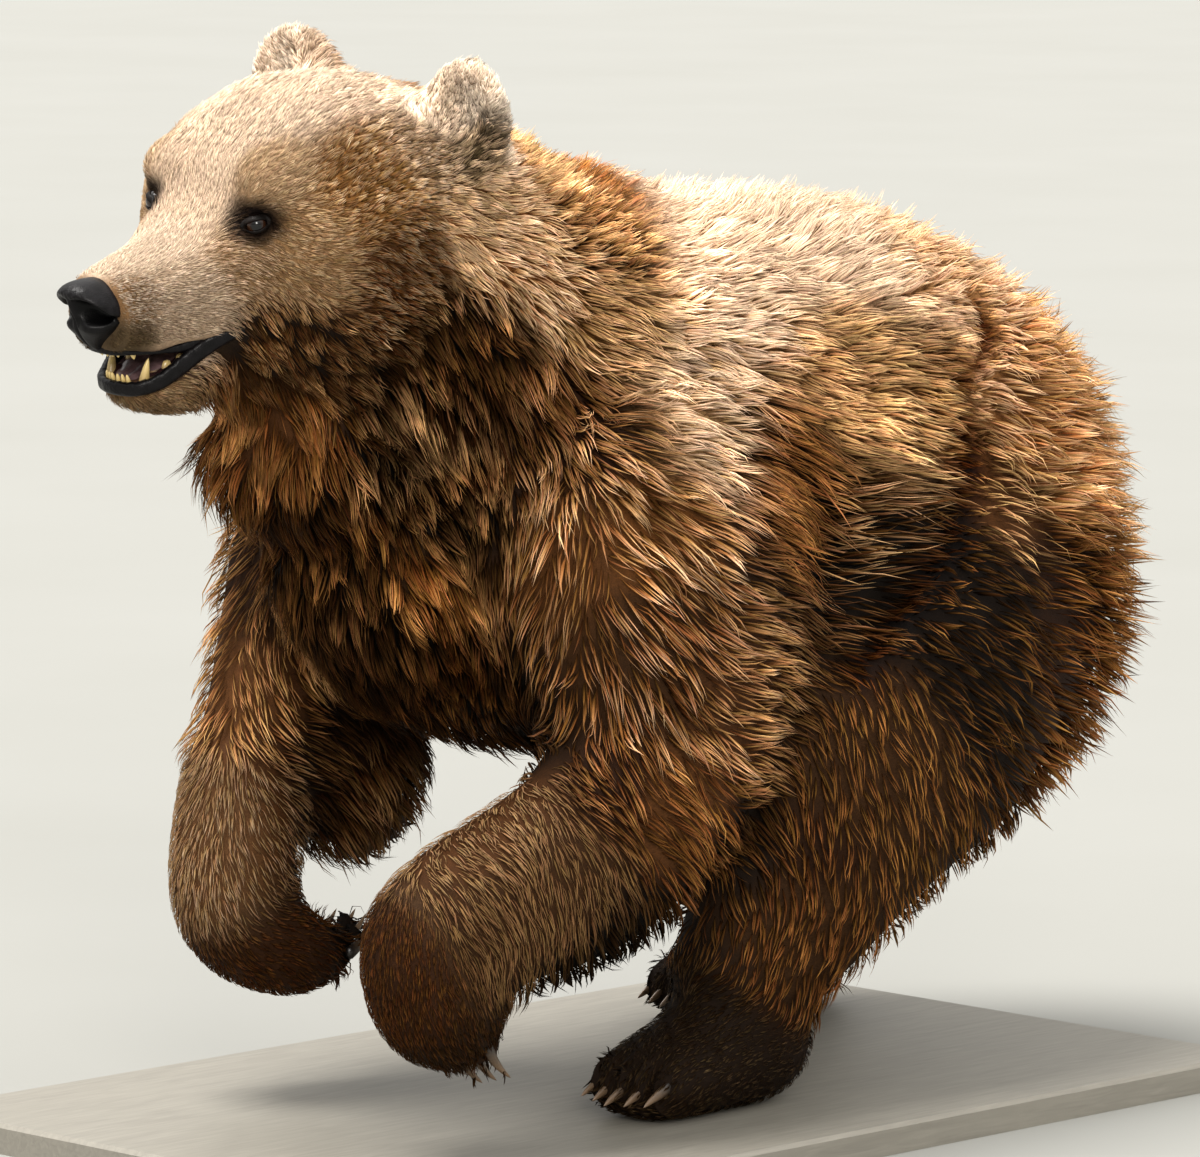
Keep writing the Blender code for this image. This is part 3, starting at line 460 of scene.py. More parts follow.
def newBall(name, segments, rings):
    # a unit sphere and its points
    bpy.ops.mesh.primitive_uv_sphere_add(segments=segments, ring_count=rings, radius=1)
    obj = named(bpy.context.object, name)
    return obj, pointsOf(obj.data)


def dress(obj, material, slot, *replaced):
    obj.data.materials.clear()
    obj.data.materials.append(material)
    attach(obj, "root")
    if replaced:
        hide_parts(*replaced)
    return obj


def newMaterial(name, values):
    # a material with its plain values set, its node tree and its shader
    material = bpy.data.materials.new(name)
    material.use_nodes = True
    shader = material.node_tree.nodes["Principled BSDF"]
    for key, value in values.items():
        shader.inputs[key].default_value = value
    return material, material.node_tree, shader


def wire(tree, node, links):
    for key, source in links.items():
        tree.links.new(source, node.inputs[key])


def addNode(tree, kind, settings=None, links=None, out=0):
    # a new node with its settings and links; gives back the output that other nodes read
    node = tree.nodes.new("ShaderNode" + kind)
    for key, value in (settings or {}).items():
        if key == "stops":
            elements = node.color_ramp.elements
            while len(elements) < len(value):
                elements.new(0.5)
            for element, (position, code) in zip(elements, value):
                element.position, element.color = position, rgba(code)
        elif isinstance(key, int) or key in node.inputs.keys():
            node.inputs[key].default_value = value
        else:
            setattr(node, key, value)
    wire(tree, node, links or {})
    return node.outputs[out]


def rgba(code):
    return (*toLinear(code), 1)


# The skin: one closed hide inside the coat. Swell, in metres, makes the CAD nodes' copies meet.
fleshNodes = ["head", "left_ear", "right_ear", "lower_jaw", "neck", "trunk", "tail",
              "left_foreleg", "right_foreleg", "left_forepaw", "right_forepaw",
              "left_hindleg", "right_hindleg", "left_hindpaw", "right_hindpaw"]
hide = dict(voxel=0.005, swell=0.0014, settle=10, bodySettle=26, lastSettle=3, triangles=150000)


def nodeCopy(name):
    # a merged copy of a CAD node, a little swollen so that neighbours meet
    bm = bmesh.new()
    bm.from_mesh(bpy.data.objects[name].data)
    bmesh.ops.remove_doubles(bm, verts=bm.verts, dist=0.00001)
    bm.normal_update()
    for vert in bm.verts:
        vert.co += vert.normal * hide["swell"]
    return meshFrom(bm, name + "_copy")


def keepLargest(bm):
    # deletes all but the largest connected part
    left = set(bm.verts)
    parts = []
    while left:
        start = left.pop()
        stack, part = [start], {start}
        while stack:
            for edge in stack.pop().link_edges:
                for vert in edge.verts:
                    if vert in left:
                        left.discard(vert)
                        part.add(vert)
                        stack.append(vert)
        parts.append(part)
    parts.sort(key=len)
    for part in parts[:-1]:
        bmesh.ops.delete(bm, geom=list(part), context="VERTS")


def makeHide():
    bm = bmesh.new()
    for name in fleshNodes + ["nose_pad"]:
        copy = nodeCopy(name)
        bm.from_mesh(copy)
        bpy.data.meshes.remove(copy)
    obj = newObject("hide", meshFrom(bm, "hide"))
    remesh = obj.modifiers.new("one skin", "REMESH")
    remesh.mode = "VOXEL"
    remesh.voxel_size = hide["voxel"]
    applyAll(obj)
    bm = bmesh.new()
    bm.from_mesh(obj.data)
    keepLargest(bm)
    bm.to_mesh(obj.data)
    bm.free()
    behind = 1 - ease(onHead(pointsOf(obj.data))[:, 0], -0.06, 0.06)
    group = obj.vertex_groups.new(name="body")
    for index, weight in enumerate(behind):
        if weight > 0.01:
            group.add([index], float(weight), "REPLACE")
    smoothing(obj, "settle", hide["settle"])
    smoothing(obj, "settle body", hide["bodySettle"], "body")
    applyAll(obj)
    return obj


print("hide: joining the flesh")
skin = makeHide()


def refine(obj, near):
    # subdivides the faces whose middles lie in a region, as the Subdivide operator does by hand
    bm = bmesh.new()
    bm.from_mesh(obj.data)
    middles = np.array([face.calc_center_median() for face in bm.faces])
    chosen = near(middles)
    edges = {edge for face, wanted in zip(bm.faces, chosen) if wanted for edge in face.edges}
    bmesh.ops.subdivide_edges(bm, edges=list(edges), cuts=1, use_grid_fill=True)
    bmesh.ops.triangulate(bm, faces=[face for face in bm.faces if len(face.verts) > 4])
    bm.to_mesh(obj.data)
    bm.free()


# The face, shaped on the hide. Places are along, across and above the head's axis.
faceForms = [  # place, reach along/across/above, push outwards in metres, sides
    ((0.228, 0.070, 0.060), (0.050, 0.030, 0.042), 0.0050, both),   # the breadth of the face at the eyes
    ((0.185, 0.045, 0.108), (0.055, 0.030, 0.035), 0.0085, both),   # and of the forehead
    ((0.246, 0.083, 0.061), (0.026, 0.020, 0.018), -0.0064, both),  # hollow of the eye
    ((0.219, 0.075, 0.091), (0.030, 0.024, 0.011), 0.0045, both),   # brow over it
    ((0.209, 0.105, 0.045), (0.022, 0.022, 0.030), 0.0020, both),   # behind the eye
    ((0.262, 0.062, 0.034), (0.022, 0.014, 0.012), 0.0022, both),   # under the eye
    ((0.285, 0.030, 0.060), (0.030, 0.018, 0.020), -0.0022, both),  # hollow beside the bridge
    ((0.300, 0.000, 0.060), (0.050, 0.016, 0.018), 0.0018, (1,)),   # the bridge
    ((0.352, 0.042, -0.022), (0.024, 0.018, 0.020), 0.0036, both),  # whisker pad
    ((0.290, 0.060, -0.040), (0.030, 0.020, 0.016), 0.0022, both),  # upper lip's fold
    ((0.246, 0.070, -0.056), (0.020, 0.020, 0.012), 0.0030, both),  # fold under the mouth's corner
    ((0.240, 0.078, -0.026), (0.024, 0.020, 0.010), 0.0030, both),  # fold of the cheek over it
    ((0.180, 0.000, 0.140), (0.060, 0.014, 0.030), -0.0020, (1,)),  # furrow between the brows
]


# The toes: where each paw's middle claw leaves it and which way the claws point
clawRows = {
    "left_forepaw": dict(at=(0.383, 0.196, 0.088), way=(-0.35, 0, -0.94), length=0.050),
    "right_forepaw": dict(at=(0.212, -0.160, 0.146), way=(-0.95, 0, 0.30), length=0.050),
    "left_hindpaw": dict(at=(0.168, 0.198, 0.032), way=(0.97, 0, -0.22), length=0.040),
    "right_hindpaw": dict(at=(-0.262, -0.150, 0.032), way=(0.97, 0, -0.22), length=0.040),
}
toes = dict(apart=0.0215, rise=0.0075, back=0.016, reach=(0.028, 0.032), halfPaw=(0.050, 0.062))


def toeRise(points):
    # a swelling over every toe and a hollow between each two
    push = np.zeros(len(points))
    for row in clawRows.values():
        onward = heading(*row["way"])
        off = points - place(*row["at"])
        ahead, aside = off @ onward, off[:, 0]
        rest = np.linalg.norm(off - onward * ahead[:, None] - np.array([1, 0, 0]) * aside[:, None], axis=1)
        near = np.exp(-((ahead + toes["back"]) / toes["reach"][0]) ** 2 - (rest / toes["reach"][1]) ** 2)
        wave = np.cos(2 * math.pi * aside / toes["apart"])
        push += toes["rise"] * near * (1 - ease(np.abs(aside), *toes["halfPaw"])) * wave
    return push


def lipRise(ahead):
    # the upper lip hangs over the canine and lifts towards the corner of the mouth
    return 0.0075 * np.exp(-((ahead - 0.272) / 0.024) ** 2) - 0.0055 * np.exp(-((ahead - 0.338) / 0.020) ** 2)


def shapeFace(points, normals):
    local = onHead(points)
    push = toeRise(points)
    for at, reach, amount, sides in faceForms:
        for side in sides:
            off = (local - mirrored(at, side)) / np.array(reach)
            push += amount * np.exp(-(off ** 2).sum(1))
    ahead = np.maximum(local[:, 0] - 0.378, 0)  # the hide stays back inside the nose
    rise = lipRise(local[:, 0]) * np.exp(-((local[:, 2] + 0.042) / 0.014) ** 2)
    return (points + normals * push[:, None] - headAxes[0] * (ahead * 0.75)[:, None]
            + headAxes[2] * rise[:, None])


refine(skin, lambda spots: (onHead(spots)[:, 0] > 0.19) & (spots[:, 2] > 0.68))
refine(skin, lambda spots: eyeGap(onHead(spots)) < 0.030)
smoothShade(skin)
outline = BVHTree.FromPolygons([Vector(p) for p in pointsOf(skin.data)],
                               [tuple(p.vertices) for p in skin.data.polygons])
foldLines = layFolds(outline)
spots = shapeFace(pointsOf(skin.data), normalsOf(skin.data))
movePoints(skin.data, spots)
_, numbers, *_ = coatAt(spots)
inward = numbers["deep"] / 1000 + hide["swell"]
movePoints(skin.data, spots - normalsOf(skin.data) * inward[:, None])
smoothing(skin, "settle", hide["lastSettle"])
thin = skin.modifiers.new("thin", "DECIMATE")
thin.ratio = min(1.0, hide["triangles"] / len(trianglesOf(skin.data)))
applyAll(skin)
smoothShade(skin)
skin.vertex_groups.clear()
print("hide:", len(trianglesOf(skin.data)), "triangles")


# How far a point is from the hide, read from a grid
class HideField:
    def __init__(self, low, high, step, reach):
        self.low, self.step = np.array(low, float), step
        self.size = np.ceil((np.array(high) - self.low) / step).astype(int) + 1
        grid = np.stack(np.meshgrid(*[np.arange(n) for n in self.size], indexing="ij"), -1).reshape(-1, 3)
        spots = self.low + grid * step
        values = np.full(len(spots), reach)
        for i, spot in enumerate(spots):
            near, normal, _, away = skinTree.find_nearest(spot, reach)
            if near is not None:
                values[i] = away if (Vector(spot) - near).dot(normal) >= 0 else -away
        self.values = values.reshape(self.size)

    def height(self, points):
        spot = np.clip((points - self.low) / self.step, 0, self.size - 1.001)
        base = spot.astype(int)
        t = spot - base
        total = 0
        for corner in np.ndindex(2, 2, 2):
            weight = np.prod(np.where(np.array(corner), t, 1 - t), axis=1)
            total = total + weight * self.values[tuple((base + corner).T)]
        return total

    def slope(self, points):
        ways = np.eye(3) * self.step * 0.6
        return unit(np.stack([self.height(points + way) - self.height(points - way) for way in ways], -1))


field = dict(step=0.014, reach=0.07, margin=0.05)
triangles = trianglesOf(skin.data)
hidePoints = pointsOf(skin.data)
skinTree = BVHTree.FromPolygons(hidePoints.tolist(), triangles.tolist())
foldLines = layFolds(skinTree)
bodyField = HideField(hidePoints.min(0) - field["margin"], hidePoints.max(0) + field["margin"],
                      field["step"], field["reach"])
print("hide: field ready")


# the unwrap that places each tuft's patch of colour
def unwrapHide():
    copy = newObject("wrap", skin.data.copy())
    coarse = copy.modifiers.new("coarse", "DECIMATE")
    coarse.ratio = 9000 / len(triangles)
    applyAll(copy)
    bpy.ops.object.mode_set(mode="EDIT")
    bpy.ops.mesh.select_all(action="SELECT")
    bpy.ops.uv.smart_project(angle_limit=math.radians(70), island_margin=0.01)
    bpy.ops.object.mode_set(mode="OBJECT")
    shape = trianglesOf(copy.data)
    corners = readAll(copy.data.loop_triangles, "loops", kind=np.int32)
    uvs = readAll(copy.data.uv_layers.active.uv, "vector", width=2)[corners]
    points = pointsOf(copy.data)
    bpy.data.objects.remove(copy)
    return BVHTree.FromPolygons(points.tolist(), shape.tolist()), points[shape], uvs


wrapTree, wrapShapes, wrapUvs = unwrapHide()


def wrapPlaces(points):
    # where on the unwrap the point of the hide nearest to each point lies
    found = np.array([wrapTree.find_nearest(spot)[2] for spot in points])
    shape = wrapShapes[found]
    a, b, p = shape[:, 1] - shape[:, 0], shape[:, 2] - shape[:, 0], points - shape[:, 0]
    aa, ab, bb, pa, pb = [(x * y).sum(1) for x, y in ((a, a), (a, b), (b, b), (p, a), (p, b))]
    share = np.maximum(aa * bb - ab * ab, 1e-18)
    v = np.clip((bb * pa - ab * pb) / share, 0, 1)
    w = np.clip((aa * pb - ab * pa) / share, 0, 1 - v)
    uv = wrapUvs[found]
    return uv[:, 0] + (uv[:, 1] - uv[:, 0]) * v[:, None] + (uv[:, 2] - uv[:, 0]) * w[:, None]


# sunk: how far a root lies in the hide. shaft: how fast a tuft thins. flat: its thickness over its width.
# jitter, swirl: how far hairs and locks turn from the flow, in radians. strays: the share that leave a lock.
# crest: how high a lock stands in its middle. wave: how far a tuft bends aside. patch: its colour map's size.
hair = dict(sunk=0.0015, shaft=0.55, flat=0.45, jitter=0.15, swirl=0.18, lengthSpread=0.22, strays=0.06,
            crest=0.20, wave=0.055, widthSpread=0.30, patch=0.003)


def swirled(flow, normals, angle):
    side = np.cross(normals, flow)
    return unit(flow * np.cos(angle)[:, None] + side * np.sin(angle)[:, None])


def hairPaths(roots, normals, numbers, flow, turn, scale, steps):
    # centre lines that rise off the hide at the root and then lie back along it
    spots = [roots - normals * hair["sunk"]]
    length = numbers["length"] / 1000 * scale
    lift = np.radians(numbers["lift"])
    normal = normals
    for k in range(steps):
        t = (k + 0.5) / steps
        lie = unit(flow - normal * (flow * normal).sum(1, keepdims=True) * 0.94)
        lie = swirled(lie, normal, turn)
        rise = lift * (1.25 - (1.15 - 0.75 * ease(numbers["lift"], 42, 58)) * t)
        way = unit(lie * np.cos(rise)[:, None] + normal * np.sin(rise)[:, None])
        spot = spots[-1] + way * (length / steps)[:, None]
        normal = unit(bodyField.slope(spot) + normal * 0.3)
        floor = 0.0015 + 0.010 * t * np.clip(length / 0.06, 0, 1)
        spot = spot + normal * np.maximum(floor - bodyField.height(spot), 0)[:, None]
        spots.append(spot)
    return np.stack(spots, 1)


def scatter(chosen, density, seed):
    # roots spread over some triangles of the hide, at so many to the square metre and not too close
    draw = np.random.default_rng(seed)
    shape = hidePoints[triangles[chosen]]
    a, b = shape[:, 1] - shape[:, 0], shape[:, 2] - shape[:, 0]
    wanted = np.linalg.norm(np.cross(a, b), axis=1) / 2 * density[chosen]
    picks = draw.choice(len(chosen), int(wanted.sum() * 1.9), p=wanted / wanted.sum())
    u, v = draw.random((2, len(picks)))
    outside = u + v > 1
    u, v = np.where(outside, 1 - u, u), np.where(outside, 1 - v, v)
    a, b = a[picks], b[picks]
    roots = shape[picks, 0] + a * u[:, None] + b * v[:, None]
    spacing = 0.88 / np.sqrt(density[chosen][picks])
    spacing = 0.0018 * 1.2 ** np.round(np.log(spacing / 0.0018) / np.log(1.2))
    cells = np.floor(roots / spacing[:, None])
    cells = np.concatenate([cells, np.round(spacing[:, None] * 1e5)], 1).astype(np.int64)
    _, kept = np.unique(cells, axis=0, return_index=True)
    kept = draw.permutation(kept)[:int(wanted.sum())]
    return roots[kept], unit(np.cross(a, b))[kept]


def nearestOf(places, points):
    tree = KDTree(len(places))
    for i, spot in enumerate(places):
        tree.insert(spot, i)
    tree.balance()
    return np.array([tree.find(spot)[1] for spot in points])


def growLocks(roots, normals, flow, numbers, density, steps, draw):
    # the tufts' centre lines and reach, how many locks there are, and each tuft's lock and place in it
    count = len(roots)
    clump = numbers["clump"]
    turn = ripple(roots, 0.10, 3) * hair["swirl"] * 1.3 + ripple(roots, 0.035, 4) * hair["swirl"]
    turnEach = turn + draw.normal(0, hair["jitter"], count) * (numbers["length"] / 24).clip(0.5, 1)
    scale = np.exp(draw.normal(0, hair["lengthSpread"], count)).clip(0.5, 1.6)
    paths = hairPaths(roots, normals, numbers, flow, turnEach, scale, steps)

    # a few of the roots lead, and the hairs round each lead meet it towards the tip
    leadShare = np.clip(1.0 / (density * (clump / 1000) ** 2), 0, 0.5)
    leads = np.flatnonzero(draw.random(count) < leadShare)
    leadScale = np.exp(draw.normal(0, 0.16, len(leads))).clip(0.7, 1.4)
    leadTurn = turn[leads] + draw.normal(0, hair["jitter"] * 0.9, len(leads))
    leadNumbers = {key: value[leads] for key, value in numbers.items()}
    leadNumbers["lift"] = leadNumbers["lift"] * np.exp(draw.normal(0, 0.30, len(leads))).clip(0.5, 1.7)
    leadPaths = hairPaths(roots[leads], normals[leads], leadNumbers, flow[leads], leadTurn, leadScale, steps)
    lock = nearestOf(roots[leads], roots)
    apart = roots - roots[leads][lock]
    across = ((apart * unit(np.cross(normals, flow))).sum(1) / clump * 1600).clip(-1, 1)  # from edge to edge
    rim = (np.linalg.norm(apart, axis=1) / clump * 1350).clip(0, 1)  # from the middle out
    pull = numbers["pull"] * (0.90 + 0.18 * draw.random(count))
    stray = draw.random(count) < hair["strays"]
    pull = np.where(stray, pull * 0.25, np.minimum(pull, 0.965))
    for k in range(1, steps + 1):
        t = k / steps
        share = (pull * t ** 1.15)[:, None]
        crest = clump / 1000 * hair["crest"] * (1 - rim) * math.sin(math.pi * min(t * 1.1, 1))
        paths[:, k] = paths[:, k] * (1 - share) + leadPaths[lock, k] * share + normals * crest[:, None]

    bend = ripple(roots, 0.020, 9) * 0.6 + draw.normal(0, 0.3, count)
    bendWay = unit(np.cross(paths[:, -1] - paths[:, 0], normals))
    reach = np.linalg.norm(paths[:, -1] - paths[:, 0], axis=1)
    for k in range(1, steps + 1):
        paths[:, k] += bendWay * (math.sin(k / steps * 3.4) * hair["wave"] * reach * bend)[:, None]
    return paths, reach, len(leads), lock, across, rim


def endEarly(paths, end):
    # hairs end at different places along their lock
    steps = paths.shape[1] - 1
    spot = np.arange(steps + 1)[None] / steps * end[:, None] * steps
    before = np.minimum(spot.astype(int), steps - 1)
    rows = np.arange(len(paths))[:, None]
    return paths[rows, before] + (paths[rows, before + 1] - paths[rows, before]) * (spot - before)[..., None]


def paintedFoldShadeUnder(paths):
    # the painted fold shade on the hide under each point of the paths
    points = paths.reshape(-1, 3)
    dropped = points - bodyField.slope(points) * bodyField.height(points)[:, None]
    return paintedFoldShade(dropped).reshape(paths.shape)


def tuftSolids(paths, normals, across, width):
    # three-sided tufts, widest a third of the way along, with a point at either end
    count, steps = len(paths), paths.shape[1] - 1
    each = 3 * steps - 1
    points, lies = np.empty((2, count, each, 3))
    run = np.zeros((count, each))
    corner = np.arange(3) * 2 * math.pi / 3 + math.pi / 2
    for ring in range(1, steps):
        t = ring / steps
        ahead = unit(paths[:, ring + 1] - paths[:, ring - 1])
        side = unit(np.cross(normals, ahead))
        outward = np.cross(ahead, side)
        girth = width * (1 - t) ** hair["shaft"]
        first = 3 * ring - 2
        for k in range(3):
            points[:, first + k] = (paths[:, ring] + side * (girth * math.cos(corner[k]))[:, None]
                                    + outward * (girth * hair["flat"] * math.sin(corner[k]))[:, None])
        run[:, first:first + 3] = t
        lie = unit(outward * 0.65 + normals * 0.45 + side * (across * 0.55)[:, None])
        lies[:, first:first + 3] = lie[:, None]
    lies[:, 0], lies[:, -1] = lies[:, 1], lies[:, -2]
    points[:, 0], points[:, -1] = paths[:, 0], paths[:, -1]
    run[:, -1] = 1
    return points, lies, run


def tuftFaces(steps):
    last = 3 * steps - 2
    faces = [[0, 1 + (k + 1) % 3, 1 + k] for k in range(3)]
    for first in range(1, last - 3, 3):
        faces += [[first + k, first + (k + 1) % 3, first + 3 + (k + 1) % 3, first + 3 + k] for k in range(3)]
    return faces + [[last - 3 + k, last - 3 + (k + 1) % 3, last] for k in range(3)]


def tuftPatch(faces, steps):
    # where each corner of a tuft's faces lies, around the tuft and along it
    last = 3 * steps - 2
    around, along = [], []
    for face in faces:
        closing = {(vert - 1) % 3 for vert in face if 0 < vert < last} == {0, 2}  # it ends the round
        for vert in face:
            k = (vert - 1) % 3
            around.append(1.5 if vert in (0, last) else k + 3 if k == 0 and closing else k)
            along.append(math.ceil(vert / 3) / steps)
    return np.array(around, float), np.array(along)


def tuftMesh(name, points, faces):
    count, each = points.shape[:2]
    loops = (np.concatenate(faces)[None, :] + (np.arange(count) * each)[:, None]).ravel()
    sizes = np.tile([len(face) for face in faces], count)
    mesh = bpy.data.meshes.new(name)
    mesh.vertices.add(count * each)
    mesh.vertices.foreach_set("co", points.ravel())
    mesh.loops.add(len(loops))
    mesh.loops.foreach_set("vertex_index", loops.astype(np.int32))
    mesh.polygons.add(len(sizes))
    starts = np.concatenate([[0], np.cumsum(sizes)[:-1]])
    mesh.polygons.foreach_set("loop_start", starts.astype(np.int32))
    mesh.polygons.foreach_set("use_smooth", np.ones(len(sizes), bool))
    mesh.update(calc_edges=True)
    return mesh


def makeCoat(name, chosen, most, steps, seed, material, slot):
    # one piece of coat: clumped, tapering tufts rooted on the chosen triangles
    draw = np.random.default_rng(seed)
    perTuft = 6 * steps - 6
    density = hairDensity * (most / perTuft / (faceArea[chosen] * hairDensity[chosen]).sum())
    roots, normals = scatter(chosen, density, seed)
    normals = unit(bodyField.slope(roots + normals * 0.004) + normals * 0.8)
    flow, numbers, rootTone, midTone, tipTone = coatAt(roots)
    count = len(roots)
    grown = growLocks(roots, normals, flow, numbers, density[chosen].mean(), steps, draw)
    paths, reach, locks, lock, across, rim = grown
    damp = ease(numbers["pull"], 0.55, 0.75)
    end = (1 - 0.28 * draw.random(count) ** 1.3) * (1 - 0.26 * damp * rim ** 2)
    paths = endEarly(paths, end)

    # the hair's own dark root, held longer in damp zones as painted shade deep in the coat; darker at the
    # edge of a lock as painted shade between locks; paler towards the tip on some hairs than on others
    clumpTone = draw.normal(0, 1, locks)[lock]
    slim = draw.normal(0, hair["widthSpread"], count)
    lively = (0.45 + numbers["length"] / 40).clip(0, 1)  # short hair is more even
    pale = np.clip(0.64 + (0.34 * clumpTone - 0.4 * slim + draw.normal(0, 0.16, count)) * lively, 0, 1.35)
    uneven = numbers["fleck"] * (clumpTone + ripple(roots, 0.05, 12))
    shade = np.exp(uneven + draw.normal(0, 0.10, count) * lively)
    tipTone = midTone + (tipTone - midTone) * pale[:, None]

    width = numbers["wide"] / 2000 * np.exp(slim) * 1.1
    points, lies, run = tuftSolids(paths, normals, across, width)
    damp, rim = damp[:, None], rim[:, None]
    height = run * end[:, None] ** 0.7
    # low: where the root tone gives way to the middle; in damp zones it holds longer, as painted shade deep
    # in the coat
    low = ease(height, 0.04 + 0.12 * damp, 0.42 + 0.20 * damp)[..., None]
    top = ease(height, 0.30 + 0.14 * damp, 0.92)[..., None]
    # edge: painted shade on the hairs at the edge of a lock, darkest low down, so the gaps between locks read
    # dark
    edge = 1 - (0.12 + 0.52 * damp) * rim ** 1.5 * (1 - 0.9 * run)
    tone = rootTone[:, None] * (1 - low) + midTone[:, None] * low
    tone = (tone * (1 - top) + tipTone[:, None] * top) * shade[:, None, None] * edge[..., None]
    # painted shade in the folds under the tufts
    tone *= paintedFoldShadeUnder(paths)[:, [0, *np.repeat(np.arange(1, steps), 3), steps]]

    faces = tuftFaces(steps)
    mesh = tuftMesh(name, points, faces)
    addLayer(mesh, "hairTone", "FLOAT_COLOR", tone)
    addLayer(mesh, "hairOutward", "FLOAT_VECTOR", lies)
    addLayer(mesh, "hairSeed", "FLOAT", np.repeat(draw.random(count), points.shape[1]))

    # every tuft's patch of the colour map, and a map in millimetres for the fine streaks along it
    around, along = tuftPatch(faces, steps)
    patch = np.stack([(around / 3 - 0.5) * hair["patch"], (along - 0.5) * hair["patch"]], -1)
    bakeMap = mesh.uv_layers.new(name="OFBake")
    bakeMap.uv.foreach_set("vector", (wrapPlaces(roots)[:, None] + patch[None]).ravel())
    offset = draw.random((count, 1)) * 90
    spread = [around[None] * (width * 700)[:, None] + offset, along[None] * (reach * 1000)[:, None]]
    streaks = mesh.uv_layers.new(name="hairStreaks")
    streaks.uv.foreach_set("vector", np.stack(spread, -1).ravel())
    obj = dress(newObject(name, mesh), material, slot)
    print(name, count, "tufts,", count * perTuft, "triangles")
    return obj


# Most of the noise textures' values lie in this range, which a Map Range node widens.
noiseRange = {"From Min": 0.3, "From Max": 0.7}


# Hair: keratin shafts clumped by damp and wind, each tuft streaked along its length.
# To the eye: dull gold glints on the tips, soft dark hollows between the clumps, deepened by painted shade in
# the hair's tone.
def hairMaterial(name, roughness, gloss, sheen):
    material, tree, shader = newMaterial(name, {
        "Roughness": roughness, "IOR": 1.55, "Specular IOR Level": gloss, "Specular Tint": rgba("#E2B47C"),
        "Sheen Weight": sheen, "Sheen Roughness": 0.4, "Sheen Tint": rgba("#F2DFC4")})
    tone = addNode(tree, "Attribute", {"attribute_name": "hairTone"})
    streakMap = addNode(tree, "UVMap", {"uv_map": "hairStreaks"})
    # 0.4 mm across and 20 mm along: single hairs are 0.08 mm, too fine to show, so they are drawn as bundles
    drawn = addNode(tree, "Mapping", {"Scale": (2.6, 0.05, 1)}, {"Vector": streakMap})
    streaks = addNode(tree, "TexNoise", {"noise_dimensions": "2D", "Scale": 1.0, "Detail": 3.0,
                                         "Roughness": 0.6}, {"Vector": drawn})
    spread = addNode(tree, "MapRange", {**noiseRange, "To Min": 0.58, "To Max": 1.42}, {"Value": streaks})
    seed = addNode(tree, "Attribute", {"attribute_name": "hairSeed"}, out="Fac")
    warm = addNode(tree, "MapRange", {"To Min": 0.488, "To Max": 0.512}, {"Value": seed})
    lit = addNode(tree, "HueSaturation", {}, {"Color": tone, "Value": spread, "Hue": warm})
    # each tuft is lit partly as part of its lock and partly as a rod of its own, as fine hair is
    lie = addNode(tree, "Attribute", {"attribute_name": "hairOutward"}, out="Vector")
    rod = addNode(tree, "NewGeometry", out="Normal")
    blend = addNode(tree, "Mix", {"data_type": "VECTOR", 0: 0.52}, {4: lie, 5: rod}, out=1)
    whole = addNode(tree, "VectorMath", {"operation": "NORMALIZE"}, {0: blend})
    relief = addNode(tree, "Bump", {"Strength": 0.30, "Distance": 0.0006},
                     {"Height": streaks, "Normal": whole})
    wire(tree, shader, {"Base Color": lit, "Normal": relief})
    return material


# Hide with its short undercoat: matt, finely grained along the lie of the hair, so gaps read as deep fur; its
# tone carries painted shade under long hair and in the folds.
def hideMaterial():
    material, tree, shader = newMaterial("hide under short undercoat", {
        "Roughness": 0.75, "Specular IOR Level": 0.10})
    tone = addNode(tree, "Attribute", {"attribute_name": "hideTone"})
    spots = addNode(tree, "TexCoord", out="Object")
    drawn = addNode(tree, "Mapping", {"Scale": (1000, 260, 700)}, {"Vector": spots})
    nap = addNode(tree, "TexNoise", {"Scale": 0.9, "Detail": 4.0, "Roughness": 0.65},
                  {"Vector": drawn})  # about 1 mm by 4 mm
    mottle = addNode(tree, "TexNoise", {"Scale": 130.0, "Detail": 3.0}, {"Vector": spots})  # about 8 mm
    fine = addNode(tree, "MapRange", {**noiseRange, "To Min": 0.62, "To Max": 1.25}, {"Value": nap})
    broad = addNode(tree, "MapRange", {**noiseRange, "To Min": 0.85, "To Max": 1.12}, {"Value": mottle})
    value = addNode(tree, "Math", {"operation": "MULTIPLY"}, {0: fine, 1: broad})
    lit = addNode(tree, "HueSaturation", {}, {"Color": tone, "Value": value})
    relief = addNode(tree, "Bump", {"Strength": 0.6, "Distance": 0.0010}, {"Height": nap})
    wire(tree, shader, {"Base Color": lit, "Normal": relief})
    return material


# Moist skin: pebbled grain under a thin wet film, so small sharp lights break up over it.
def moistSkin(name, dark, pale, grain, depth, roughness, wetness):
    material, tree, shader = newMaterial(name, {
        "Roughness": roughness, "Specular IOR Level": 0.13, "Coat Weight": wetness, "Coat Roughness": 0.12})
    spots = addNode(tree, "TexCoord", out="Object")
    pebbles = addNode(tree, "TexVoronoi", {"Scale": 1000 / grain, "Randomness": 1.0}, {"Vector": spots})
    clouds = addNode(tree, "TexNoise", {"Scale": 90.0, "Detail": 4.0}, {"Vector": spots})  # about 11 mm
    tone = addNode(tree, "ValToRGB", {"stops": ((0.35, dark), (0.72, pale))}, {"Fac": clouds})
    relief = addNode(tree, "Bump", {"Strength": 0.7, "Distance": depth / 1000}, {"Height": pebbles})
    # painted shade: on a mesh that carries it, the skin in its hollows is darkened down to a tenth
    hollow = addNode(tree, "Attribute", {"attribute_name": "hollow"}, out="Fac")
    deep = addNode(tree, "MapRange", {"To Min": 1.0, "To Max": 0.10}, {"Value": hollow})
    lit = addNode(tree, "HueSaturation", {}, {"Color": tone, "Value": deep})
    wire(tree, shader, {"Base Color": lit, "Normal": relief})
    return material


